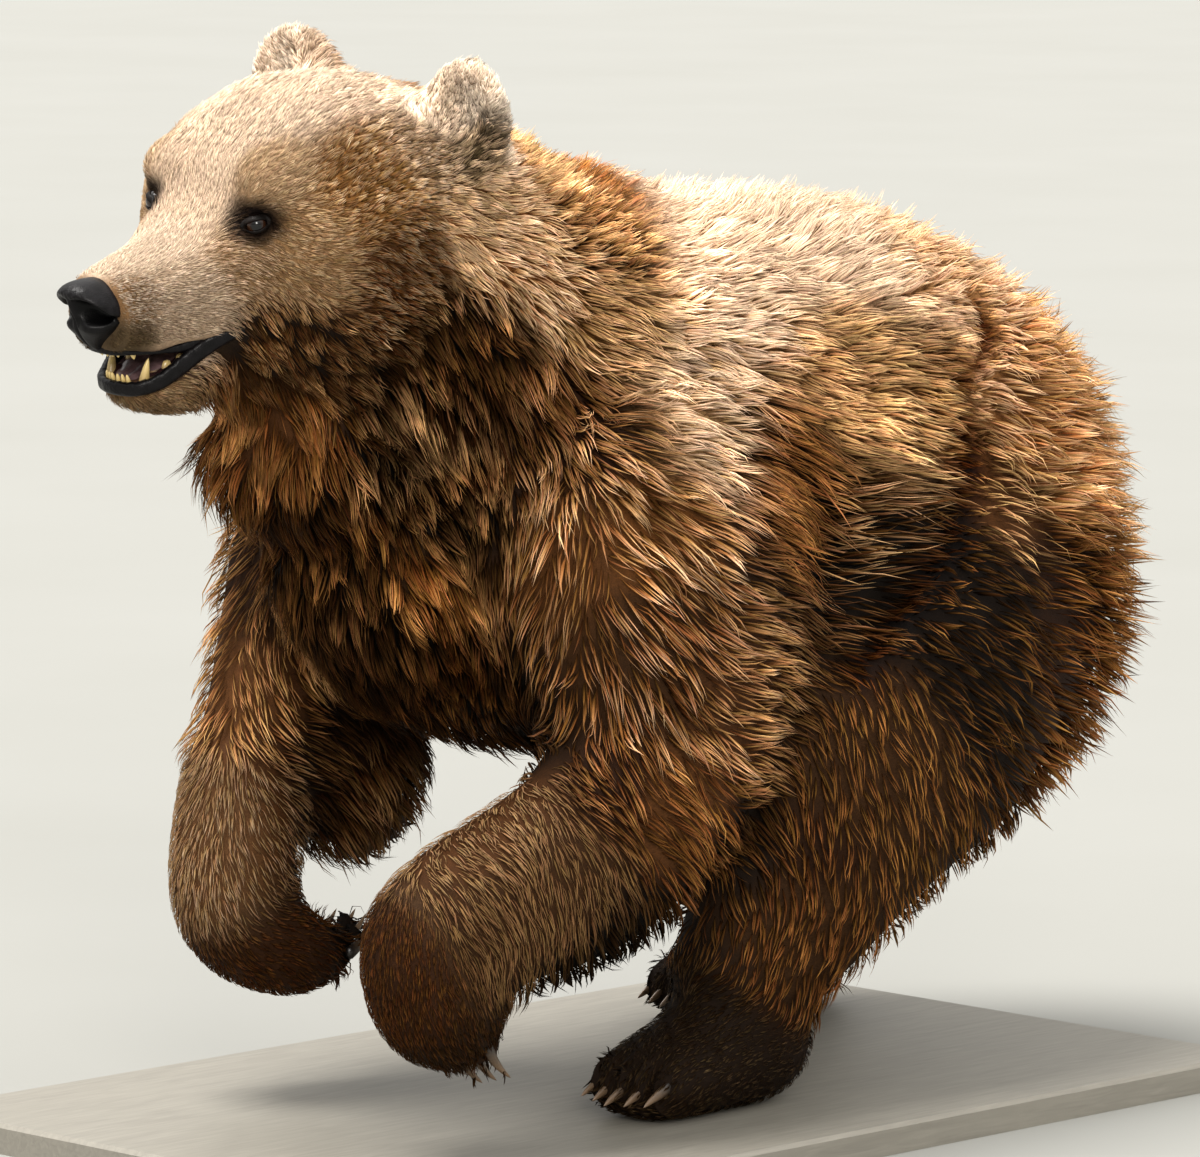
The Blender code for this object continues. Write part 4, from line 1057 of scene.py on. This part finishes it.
# Tooth enamel: dense and polished by wear, ivory at the tip and stained yellow at the gum.
def enamelMaterial():
    material, tree, shader = newMaterial("tooth enamel, worn smooth", {"Roughness": 0.22, "IOR": 1.62})
    run = addNode(tree, "Attribute", {"attribute_name": "run"}, out="Fac")
    tone = addNode(tree, "ValToRGB", {"stops": ((0.0, "#7A5526"), (0.75, "#D9BE7E"))}, {"Fac": run})
    spots = addNode(tree, "TexCoord", out="Object")
    lines = addNode(tree, "TexNoise", {"Scale": 900.0, "Detail": 3.0}, {"Vector": spots})  # about 1 mm
    relief = addNode(tree, "Bump", {"Strength": 0.25, "Distance": 0.0003}, {"Height": lines})
    wire(tree, shader, {"Base Color": tone, "Normal": relief})
    return material


# Claw horn: keratin grown in layers, so fine lines run from the quick to the worn, paler tip.
def hornMaterial():
    material, tree, shader = newMaterial("claw horn, grown in layers", {"Roughness": 0.34, "IOR": 1.55})
    run = addNode(tree, "Attribute", {"attribute_name": "run"}, out="Fac")
    spots = addNode(tree, "TexCoord", out="Object")
    grain = addNode(tree, "TexNoise", {"Scale": 420.0, "Detail": 4.0, "Distortion": 0.6},
                    {"Vector": spots})  # about 2 mm
    mixed = addNode(tree, "Math", {"operation": "MULTIPLY_ADD", 1: 0.35}, {0: grain, 2: run})
    tone = addNode(tree, "ValToRGB", {"stops": ((0.3, "#120D0A"), (1.0, "#6B5641"))}, {"Fac": mixed})
    relief = addNode(tree, "Bump", {"Strength": 0.4, "Distance": 0.0004}, {"Height": grain})
    wire(tree, shader, {"Base Color": tone, "Normal": relief})
    return material


# The eye: a clear wet cornea over a dark brown iris with a black pupil, so it holds one sharp light.
def eyeMaterial():
    material, tree, shader = newMaterial("wet cornea over a brown iris", {
        "Roughness": 0.08, "IOR": 1.376, "Specular IOR Level": 0.35, "Coat Weight": 0.45,
        "Coat Roughness": 0.02})
    angle = addNode(tree, "Attribute", {"attribute_name": "fromGaze"}, out="Fac")
    spots = addNode(tree, "TexCoord", out="Object")
    fibres = addNode(tree, "TexNoise", {"Scale": 900.0, "Detail": 3.0}, {"Vector": spots})  # about 1 mm
    mixed = addNode(tree, "Math", {"operation": "MULTIPLY_ADD", 1: 0.10}, {0: fibres, 2: angle})
    stops = ((0.0, "#020101"), (0.34, "#030202"), (0.42, "#20110A"),  # the pupil, and where the iris starts
             (0.60, "#2C170B"), (0.74, "#0A0504"), (1.0, "#0E0908"))  # the iris, its dark rim and beyond
    tone = addNode(tree, "ValToRGB", {"stops": stops}, {"Fac": mixed})
    wire(tree, shader, {"Base Color": tone})
    return material


# Board: wood with a sprayed matt paint that lets a little grain through.
def boardMaterial():
    material, tree, shader = newMaterial("painted wood, sprayed matt", {"Roughness": 0.55})
    spots = addNode(tree, "TexCoord", out="Object")
    drawn = addNode(tree, "Mapping", {"Scale": (60, 5, 60)}, {"Vector": spots})
    grain = addNode(tree, "TexNoise", {"Scale": 3.0, "Detail": 5.0, "Distortion": 0.8},
                    {"Vector": drawn})  # lines 5 mm apart
    tone = addNode(tree, "ValToRGB", {"stops": ((0.3, "#77736A"), (0.75, "#858177"))}, {"Fac": grain})
    peel = addNode(tree, "TexNoise", {"Scale": 450.0, "Detail": 2.0}, {"Vector": spots})  # orange peel, 2 mm
    height = addNode(tree, "Math", {"operation": "MULTIPLY_ADD", 1: 0.4}, {0: peel, 2: grain})
    relief = addNode(tree, "Bump", {"Strength": 0.25, "Distance": 0.0006}, {"Height": height})
    wire(tree, shader, {"Base Color": tone, "Normal": relief})
    return material


# Floor: concrete under rolled matt paint, so its tone drifts a little over a metre or so.
def floorMaterial():
    material, tree, shader = newMaterial("studio floor, rolled matt paint", {"Roughness": 0.8})
    spots = addNode(tree, "TexCoord", out="Object")
    clouds = addNode(tree, "TexNoise", {"Scale": 1.4, "Detail": 3.0}, {"Vector": spots})
    tone = addNode(tree, "ValToRGB", {"stops": ((0.0, "#84847F"), (1.0, "#8A8A86"))}, {"Fac": clouds})
    wire(tree, shader, {"Base Color": tone})
    return material


# the gums, on the hide inside the mouth: places on the head, in metres
gums = dict(tone="#2A1516", front=(0.255, 0.270), above=-0.062, halfHeight=0.022, halfWidth=0.050)


def hideTones(points):
    # the coat's middle tone where hair is short, its root tone darkened by painted shade where hair is long,
    # painted shade in the folds, and the gums
    _, numbers, rootTone, midTone, _ = coatAt(points)
    long = ease(numbers["length"], 9, 26)[:, None]
    # 0.55: painted shade on the hide under a long coat; then the painted shade in the folds
    tone = (midTone * (1 - long) + rootTone * 0.55 * long) * paintedFoldShade(points)
    local = onHead(points)
    high = ease(gums["halfHeight"] - np.abs(local[:, 2] - gums["above"]), 0, 0.010)
    inside = ease(gums["halfWidth"] - np.abs(local[:, 1]), 0, 0.006)
    gum = (ease(local[:, 0], *gums["front"]) * high * inside)[:, None]
    return tone * (1 - gum) + toLinear(gums["tone"]) * gum


addLayer(skin.data, "hideTone", "FLOAT_COLOR", hideTones(hidePoints))
dress(skin, hideMaterial(), "brown_coat", *fleshNodes)


# The nose: a broad cap that overhangs two open nostrils, narrowing to the lip. Everything is in metres.
nose = dict(at=np.array([0.3790, 0.0, -0.0095]), half=np.array([0.0285, 0.0345, 0.0370]), power=2.3,
            lean=(0.50, 0.32), nostril=(0.0180, 0.0098), hole=(0.0128, 0.0108), deep=0.021, groove=0.0016,
            edgeRoll=0.0022, recess=0.0040, slit=(0.0046, 0.0030), wing=0.0024, grooveDeep=0.0026,
            crease=0.00035)


def noseLean(x, z):
    return np.where(z > 0, *nose["lean"]) * z * ease(x, -0.02, 0.01)


def noseNarrow(z):
    return 1 - 0.74 * ease(-z, -0.004, 0.036) - 0.14 * ease(z, 0.014, 0.036)


def noseFrame(points):
    # head places in the nose's own upright, even-sided frame
    x, y, z = (points - nose["at"]).T
    return np.stack([x - noseLean(x, z), y / noseNarrow(z), z], 1)


def noseEdge(across):
    # the height of the cap's lower edge over each nostril
    return 0.0235 - 0.0180 * (across / 0.0345) ** 3.4


def makeNose():
    obj, ball = newBall("nose_leather", 180, 120)
    ball = ball[:, [2, 0, 1]]
    power = nose["power"]
    spot = ball / ((np.abs(ball) / nose["half"]) ** power).sum(1, keepdims=True) ** (1 / power)
    x, y, z = spot.T
    front = ease(x, -0.004, 0.014)
    y = y * noseNarrow(z)
    x = x + noseLean(x, z)
    wide = np.abs(y)
    below = noseEdge(wide) - z
    recess = ease(below, 0.0, 0.0035) * (1 - ease(below, 0.020, 0.034)) * ease(wide, 0.001, 0.005)
    rolled = np.exp(-((below + 0.005) / 0.006) ** 2)  # the cap's edge over the nostrils
    x = x + nose["edgeRoll"] * front * rolled - nose["recess"] * front * recess
    dy = wide - nose["nostril"][0]
    dz = z - nose["nostril"][1] + 0.30 * dy
    hole = np.exp(-((dy / nose["hole"][0]) ** 2 + (dz / nose["hole"][1]) ** 2) ** 2.2)
    x = x - hole * nose["deep"] * front
    slit = np.exp(-((below - 0.0045) / 0.0030) ** 2) * ease(wide, 0.026, 0.030)
    x = x - slit * nose["slit"][0]
    y = y - np.sign(y) * slit * nose["slit"][1]
    wing = np.exp(-((wide - 0.012) / 0.008) ** 2 - ((z + 0.006) / 0.008) ** 2)
    x = x + nose["wing"] * front * wing  # under the nostrils
    x = x - nose["grooveDeep"] * np.exp(-(y / nose["groove"]) ** 2) * front * ease(-z, -0.018, 0.000)
    # painted shade in the nostrils, under the cap's edge and in the slits, darkest in the nostrils
    addLayer(obj.data, "hollow", "FLOAT", np.clip(hole * 1.3 + recess * 0.75 + slit, 0, 1))
    x = x + nose["crease"] * np.sin(y * 900) * np.sin(z * 700 + y * 300) * ease(z, 0.016, 0.026)  # on its top
    return shapeTo(obj, headPlace(*(nose["at"] + np.stack([x, y, z], 1)).T))


# the lines of the lips, read before the coat is grown so that hair keeps off them
def along(path, values):
    # the values of a path's second, third... columns, smoothly read at some stations
    path = np.array(path, float)
    steps = np.concatenate([[0], np.cumsum(np.linalg.norm(np.diff(path[:, :2], axis=0), axis=1))])
    at = values * steps[-1]
    found = np.stack([np.interp(at, steps, column) for column in path.T], -1)
    for _ in range(6):
        found[1:-1] = (found[:-2] + 2 * found[1:-1] + found[2:]) / 4
    return found


lips = {
    # stations of half a lip: along, across, above, height, thickness
    "lower_lip": dict(roll=0.20, rows=(
        (0.247, 0.0755, -0.0335, 0.004, 0.005), (0.262, 0.0670, -0.0380, 0.011, 0.008),
        (0.280, 0.0570, -0.0450, 0.017, 0.011), (0.298, 0.0485, -0.0545, 0.021, 0.012),
        (0.315, 0.0430, -0.0655, 0.021, 0.012), (0.332, 0.0375, -0.0755, 0.018, 0.011),
        (0.346, 0.0305, -0.0810, 0.015, 0.011), (0.356, 0.0225, -0.0830, 0.014, 0.011),
        (0.3615, 0.0120, -0.0830, 0.014, 0.011), (0.3630, 0.0, -0.0830, 0.014, 0.011))),
    "upper_lip": dict(roll=0.05, rows=(
        (0.256, 0.0690, -0.0340, 0.004, 0.005), (0.270, 0.0620, -0.0365, 0.006, 0.006),
        (0.285, 0.0540, -0.0420, 0.010, 0.006), (0.300, 0.0480, -0.0460, 0.012, 0.006),
        (0.316, 0.0415, -0.0480, 0.008, 0.006), (0.334, 0.0362, -0.0480, 0.005, 0.006),
        (0.352, 0.0322, -0.0460, 0.005, 0.006), (0.366, 0.0270, -0.0435, 0.006, 0.006),
        (0.3745, 0.0190, -0.0430, 0.008, 0.006), (0.3780, 0.0090, -0.0420, 0.009, 0.006),
        (0.3785, 0.0, -0.0420, 0.009, 0.006))),
}
jawSides = np.array((1, -1, 1, 1, 1))  # turns a station of the left half into one of the right


def nodeUnder(spots):
    # the name of the CAD node nearest to each place
    names, shapes, points = [], [], []
    for name in fleshNodes + ["nose_pad"]:
        mesh = bpy.data.objects[name].data
        shapes.append(trianglesOf(mesh) + sum(len(p) for p in points))
        points.append(pointsOf(mesh))
        names += [name] * len(shapes[-1])
    tree = BVHTree.FromPolygons(np.concatenate(points).tolist(), np.concatenate(shapes).tolist())
    return np.array([names[tree.find_nearest(spot)[2]] for spot in spots])


def bareSkin(spots, facing, part):
    # where no coat grows: in the mouth and the nose, on the lips, round the eyes and under the feet
    local = onHead(spots)
    rises = facing @ headAxes[2]
    onFloor = (part == "lower_jaw") & (rises > 0.30) & (local[:, 2] < -0.035) & (local[:, 2] > -0.100)
    onRoof = (part == "head") & (rises < -0.35) & (local[:, 2] < -0.034) & (local[:, 2] > -0.064)
    throat = (np.abs(local[:, 1]) < 0.05) & (np.abs(local[:, 2] + 0.057) < 0.016)
    atBack = (facing @ headAxes[0] > 0.5) & throat
    inMouth = (local[:, 0] > 0.262) & (onFloor | onRoof | atBack)
    noseHalf = nose["half"] * np.array([1, 1.03, 1.03])
    inNose = (np.abs(noseFrame(local) / noseHalf) ** nose["power"]).sum(1) < 1
    line = along(lips["lower_lip"]["rows"], np.linspace(0, 1, 80))
    line = np.concatenate([line, line * jawSides])
    lipGap = (np.linalg.norm(local[:, None] - line[None, :, :3], axis=2) - line[None, :, 3] * 0.42).min(1)
    return inNose | inMouth | (lipGap < 0) | (eyeGap(local) < eye["bare"]) | (spots[:, 2] < 0.034)


corners = hidePoints[triangles]
middle = corners.mean(1)
crossed = np.cross(corners[:, 1] - corners[:, 0], corners[:, 2] - corners[:, 0])
faceArea = np.linalg.norm(crossed, axis=1) / 2
part = nodeUnder(middle)
bare = bareSkin(middle, unit(crossed), part)
forwardOf, leftOf, upOf = onBear(middle)
alongHead = onHead(middle)[:, 0]
_, numbers, *_ = coatAt(middle)
hairDensity = (numbers["wide"] * numbers["length"]) ** -0.75
hairDensity *= np.where((upOf < 0.42) & (np.abs(leftOf) < 0.12), 0.6, 1.0)  # thinner under the belly

# the pieces of the coat: where each grows, its most triangles and the steps along its hairs
faceFrom, chestFrom, rumpFrom, flankTop = 0.145, 0.30, -0.30, 0.76
onSkull = np.isin(part, ["head", "lower_jaw"])
onEars = np.isin(part, ["left_ear", "right_ear"])
onTrunk = np.isin(part, ["trunk", "tail"])
onForelegs = np.isin(part, ["left_foreleg", "right_foreleg", "left_forepaw", "right_forepaw"])
onHindlegs = np.isin(part, ["left_hindleg", "right_hindleg", "left_hindpaw", "right_hindpaw"])
onBarrel = onTrunk & (forwardOf <= chestFrom) & (forwardOf > rumpFrom)
coats = {
    "coat_face": dict(where=onSkull & (alongHead > faceFrom), most=197000, steps=2),
    "coat_crown": dict(where=(onSkull & (alongHead <= faceFrom)) | onEars, most=197000, steps=2),
    "coat_neck": dict(where=(part == "neck") | (onTrunk & (forwardOf > chestFrom)), most=197000, steps=3),
    "coat_back": dict(where=onBarrel & (upOf > flankTop), most=180000, steps=3),
    "coat_flanks": dict(where=onBarrel & (upOf <= flankTop), most=190000, steps=3),
    "coat_rump": dict(where=onTrunk & (forwardOf <= rumpFrom), most=160000, steps=3),
    "coat_forelegs": dict(where=onForelegs, most=197000, steps=3),
    "coat_hindlegs": dict(where=onHindlegs, most=180000, steps=3),
}
guardHair = hairMaterial("guard hair, damp and clumped", 0.52, 0.05, 0.0)
faceHair = hairMaterial("short facial hair, dry", 0.60, 0.10, 0.03)
for seed, (name, coat) in enumerate(coats.items()):
    makeCoat(name, np.flatnonzero(coat["where"] & ~bare), coat["most"], coat["steps"], 100 + seed,
             faceHair if name == "coat_face" else guardHair,
             "blond_coat" if name in ("coat_face", "coat_crown") else "brown_coat")


# Eyes and lids. Girth, thick and tall are for the upper lid, then for the lower.
lids = dict(girth=(0.0021, 0.0017), thick=(0.0016, 0.0011), tall=(0.92, 0.80), slant=0.0020, corner=0.10,
            over=0.0004)


def gazeAxes(side):
    # across, up and along the gaze of one eye
    look = unit(mirrored(eye["gaze"], side)) @ headAxes
    up = unit(headAxes[2] - look * (headAxes[2] @ look))
    return np.cross(up, look), up, look


def makeEye(side, name):
    obj, ball = newBall(name, 56, 36)
    angle = np.arccos(np.clip(ball[:, 2], -1, 1))
    bulge = eye["radius"] * (1 + 0.07 * np.exp(-(angle / 0.55) ** 2))  # the cornea
    addLayer(obj.data, "fromGaze", "FLOAT", np.clip(angle / 1.4, 0, 1))
    centre = headPlace(*mirrored(eye["at"], side))
    return shapeTo(obj, centre + (ball @ np.array(gazeAxes(side))) * bulge[:, None])


def makeLids(side, name):
    # an almond ring that lies over the eyeball, its upper rim heavier
    bpy.ops.mesh.primitive_torus_add(major_segments=72, minor_segments=16, major_radius=1, minor_radius=0.25)
    obj = named(bpy.context.object, name)
    ring = pointsOf(obj.data)
    turn = np.arctan2(ring[:, 1], ring[:, 0])
    rolled = np.arctan2(ring[:, 2], np.hypot(ring[:, 0], ring[:, 1]) - 1)
    outX, outY = np.cos(turn), np.sin(turn)
    wide, tall = eye["open"]
    girth, bulk, share = [np.where(outY > 0, *lids[key]) for key in ("girth", "thick", "tall")]
    spread = girth * (1 + np.cos(rolled))
    x = wide * outX * (1 + lids["corner"] * (outX * side < 0)) + outX * spread
    y = tall * share * outY + lids["slant"] * outX * side + outY * spread
    shell = eye["radius"] + lids["over"]
    depth = np.sqrt(np.maximum(shell ** 2 - x ** 2 - y ** 2, 0.0030 ** 2)) + bulk * (np.sin(rolled) + 0.55)
    across, up, look = gazeAxes(side)
    centre = headPlace(*mirrored(eye["at"], side))
    return shapeTo(obj, centre + x[:, None] * across + y[:, None] * up + depth[:, None] * look)


eyeGloss = eyeMaterial()
lidSkin = moistSkin("eyelid skin, creased and matt", "#080504", "#17100C", 0.9, 0.25, 0.62, 0.05)
for side, label in ((1, "left"), (-1, "right")):
    dress(makeEye(side, label + "_eyeball"), eyeGloss, "eye_gloss", label + "_eye")
    dress(makeLids(side, label + "_eyelids"), lidSkin, "nose_skin")
print("eyes and lids")

noseLeather = moistSkin("nose leather, pebbled and wet", "#060506", "#171517", 1.3, 0.35, 0.42, 0.06)
dress(makeNose(), noseLeather, "nose_skin", "nose_pad")
print("nose")

# lips: black strips swept along the edges of the jaws
strip = dict(stations=60, sides=18, fold=0.12, scallop=0.10, sunk=0.0006, taper=7)


def makeStrip(name, rows, roll):
    # a solid strip swept round the mouth from one corner to the other, with closed ends
    half = along(rows, np.linspace(0, 1, strip["stations"]))
    path = np.concatenate([half, half[::-1][1:] * jawSides])
    ahead = np.gradient(path[:, :2], axis=0)
    ahead /= np.linalg.norm(ahead, axis=1, keepdims=True)
    outward = np.stack([-ahead[:, 1], ahead[:, 0]], 1)
    sides, last = strip["sides"], len(path) - 1
    bm = bmesh.new()
    rings = []
    for i, (station, out) in enumerate(zip(path, outward)):
        taper = min(1.0, 0.25 + i / strip["taper"], 0.25 + (last - i) / strip["taper"])
        fold = 1 + strip["fold"] * math.sin(i * 0.9) * math.sin(i * 0.37)
        scallop = 1 + strip["scallop"] * math.sin(i * 1.9) * math.sin(i * 0.53)
        ring = []
        for k in range(sides):
            angle = k * 2 * math.pi / sides
            high = math.sin(angle) * station[3] / 2 * taper * (scallop if angle < math.pi else 1)
            deep = math.copysign(abs(math.cos(angle)) ** 0.75, math.cos(angle))
            push = deep * station[4] / 2 * taper * fold + roll * max(high, 0) - strip["sunk"]
            ring.append(bm.verts.new(headPlace(*(station[:2] + out * push), station[2] + high)))
        rings.append(ring)
    for before, after in zip(rings, rings[1:]):
        for k in range(sides):
            bm.faces.new((before[k], before[(k + 1) % sides], after[(k + 1) % sides], after[k]))
    bm.faces.new(rings[0][::-1])
    bm.faces.new(rings[-1])
    bmesh.ops.recalc_face_normals(bm, faces=bm.faces)
    obj = newObject(name, meshFrom(bm, name))
    smoothShade(obj)
    return obj


lipSkin = moistSkin("lip skin, black and wet", "#050405", "#100E10", 2.4, 0.6, 0.40, 0.06)
for name, lip in lips.items():
    dress(makeStrip(name, lip["rows"], lip["roll"]), lipSkin, "nose_skin")
print("lips")


# teeth and claws: horns shaped from a sphere, from a sunk base to a blunt tip
def makeSpur(base, onward, bend, length, wide, tall, sharp):
    obj, ball = newBall("spur", 20, 18)
    t = (ball[:, 2] + 1) / 2
    angle = np.arctan2(ball[:, 1], ball[:, 0])
    side = unit(np.cross(onward, bend))
    top = unit(np.cross(side, onward))
    girth = np.minimum(1, np.hypot(ball[:, 0], ball[:, 1]) * 1.8) * (1 - t * 0.999) ** sharp * 1.05
    centre = base + onward * (length * t)[:, None] + bend * (length * t ** 2)[:, None]
    ridge = 1 + 0.10 * np.maximum(-np.sin(angle), 0)
    addLayer(obj.data, "run", "FLOAT", t)
    return shapeTo(obj, centre + side * (wide * girth * np.cos(angle))[:, None]
                   + top * (tall * girth * ridge * np.sin(angle))[:, None])


def joined(name, parts):
    only(parts[0])
    for part in parts:
        part.select_set(True)
    bpy.ops.object.join()
    obj = named(bpy.context.object, name)
    bpy.ops.object.mode_set(mode="EDIT")
    bpy.ops.mesh.select_all(action="SELECT")
    bpy.ops.mesh.normals_make_consistent(inside=False)
    bpy.ops.object.mode_set(mode="OBJECT")
    smoothShade(obj)
    return obj


# The left side's teeth, in metres along, across and above. A row starts at one place and goes on by a step.
# A tooth points onward and bends forward by a share of its length. half: half its width and thickness.
teeth = {
    "lower canine": dict(at=(0.3430, 0.0215, -0.0880), onward=(0.06, 0.10, 1),
                         bend=-0.20, length=0.0330, half=(0.0058, 0.0070), sharp=0.62),
    "lower incisors": dict(at=(0.3560, 0.0036, -0.0860), step=(-0.0014, 0.0052, 0), onward=(0.22, 0, 1),
                           bend=0.02, length=0.0165, half=(0.0030, 0.0032), sharp=0.42),
    "upper incisors": dict(at=(0.3700, 0.0036, -0.0360), step=(-0.0020, 0.0052, 0), onward=(0.10, 0, -1),
                           bend=-0.05, length=0.0150, half=(0.0030, 0.0034), sharp=0.40),
    "upper canine": dict(at=(0.3570, 0.0230, -0.0340), onward=(0.05, 0, -1),
                         bend=-0.15, length=0.0200, half=(0.0052, 0.0062), sharp=0.60),
    "lower molars": dict(at=(0.3160, 0.0250, -0.0720), step=(-0.015, 0.003, 0.004), onward=(0, 0, 1),
                         bend=-0.02, length=0.0100, half=(0.0042, 0.0060), sharp=0.30),
}


def makeTeeth():
    spurs = []
    for row in teeth.values():
        for side in both:
            onward = mirrored(row["onward"], side) @ headAxes
            for k in range(3 if "step" in row else 1):
                at = np.array(row["at"]) + k * np.array(row.get("step", (0, 0, 0)))
                spurs.append(makeSpur(headPlace(*mirrored(at, side)), onward, headAxes[0] * row["bend"],
                                      row["length"], *row["half"], row["sharp"]))
    return joined("teeth", spurs)


dress(makeTeeth(), enamelMaterial(), "blond_coat")
print("teeth")

tongue = dict(at=(0.310, 0.0, -0.0665), half=(0.044, 0.0235, 0.0085), curl=0.0035, groove=0.0022, fall=0.30)


def makeTongue():
    obj, ball = newBall("tongue", 80, 48)
    ball = ball[:, [2, 0, 1]]
    x, y, z = (np.sign(ball) * np.abs(ball) ** 0.88 * np.array(tongue["half"])).T
    edge = np.clip(np.abs(y) / tongue["half"][1], 0, 1)
    z = z + tongue["curl"] * edge ** 2 - tongue["groove"] * np.exp(-(y / 0.0035) ** 2) * (z > 0)
    z = z - tongue["fall"] * (x + 0.01) + 0.0006 * np.sin(x * 420) * (z > 0)  # falling to the front, rippled
    return shapeTo(obj, headPlace(*(np.array(tongue["at"]) + np.stack([x, y, z], 1)).T))


tongueSkin = moistSkin("tongue, rough with papillae", "#3C2C2E", "#6A5354", 1.2, 0.35, 0.38, 0.5)
dress(makeTongue(), tongueSkin, "nose_skin")
print("tongue")

claw = dict(wide=0.0050, tall=0.0068, sharp=0.60, sunk=0.35, setBack=0.006, foreBend=0.36, hindBend=0.1575)


def makeClaws(paw, at, way, length):
    # five claws side by side, those at the edges set back, bent down or towards a raised forepaw's sole
    onward = heading(*way)
    if "hind" in paw:
        bend = np.array([0, 0, -1.0]) * claw["hindBend"]
    else:
        bend = -np.cross(onward, (1, 0, 0)) * claw["foreBend"]
    claws = []
    for k in range(-2, 3):
        base = place(at[0], at[1] + k * toes["apart"], at[2])
        base -= onward * (claw["setBack"] * abs(k) + claw["sunk"] * length)
        claws.append(makeSpur(base, onward, bend, length, claw["wide"], claw["tall"], claw["sharp"]))
    return joined(paw + "_claws", claws)


horn = hornMaterial()
for paw, row in clawRows.items():
    dress(makeClaws(paw, **row), horn, "dark_coat")
print("claws")

# the board, the floor and the light
board = boardMaterial()
for held in bpy.data.objects["stand_base"].material_slots:
    held.material = board

bpy.ops.mesh.primitive_grid_add(x_subdivisions=40, y_subdivisions=40, size=90)
floor = named(bpy.context.object, "studio_floor")
floor.data.materials.append(floorMaterial())

world = bpy.data.worlds.new("studio")
bpy.context.scene.world = world
world.use_nodes = True
sky = world.node_tree
above = addNode(sky, "TexCoord", out="Generated")
height = addNode(sky, "SeparateXYZ", {}, {"Vector": above}, out="Z")
glow = addNode(sky, "ValToRGB", {"stops": ((0.05, "#9B9996"), (0.75, "#FFFEFB"))}, {"Fac": height})
wire(sky, sky.nodes["Background"], {"Color": glow})  # a pale ceiling over dimmer walls
sky.nodes["Background"].inputs["Strength"].default_value = 1.5

lights = {  # where it shines from, its strength, the width of its glow in degrees and its tint
    "overhead": dict(way=(-0.20, -0.25, 1.0), strength=5.2, glow=30, tint="#FFFCF8"),
    "front": dict(way=(1.0, -0.75, 0.50), strength=1.8, glow=20, tint="#FFFAF2"),
}
for name, light in lights.items():
    lamp = bpy.data.lights.new(name, "SUN")
    lamp.energy = light["strength"]
    lamp.angle = math.radians(light["glow"])
    lamp.color = toLinear(light["tint"])
    newObject(name, lamp).rotation_euler = Vector(light["way"]).to_track_quat("Z", "Y").to_euler()

view = dict(aim=(-0.02, 0.02, 0.5335), way=(0.7018, -0.7018, 0.1219), away=8.0, lens=240, sensor=36)
camera = bpy.data.cameras.new("camera")
camera.lens = view["lens"]
camera.sensor_width = view["sensor"]
viewer = newObject("camera", camera)
aim = Vector(view["aim"])
viewer.location = aim + Vector(view["way"]).normalized() * view["away"]
viewer.rotation_euler = (aim - viewer.location).to_track_quat("-Z", "Y").to_euler()
bpy.context.scene.camera = viewer
bpy.context.scene.view_settings.view_transform = "Standard"

bpy.context.view_layer.update()
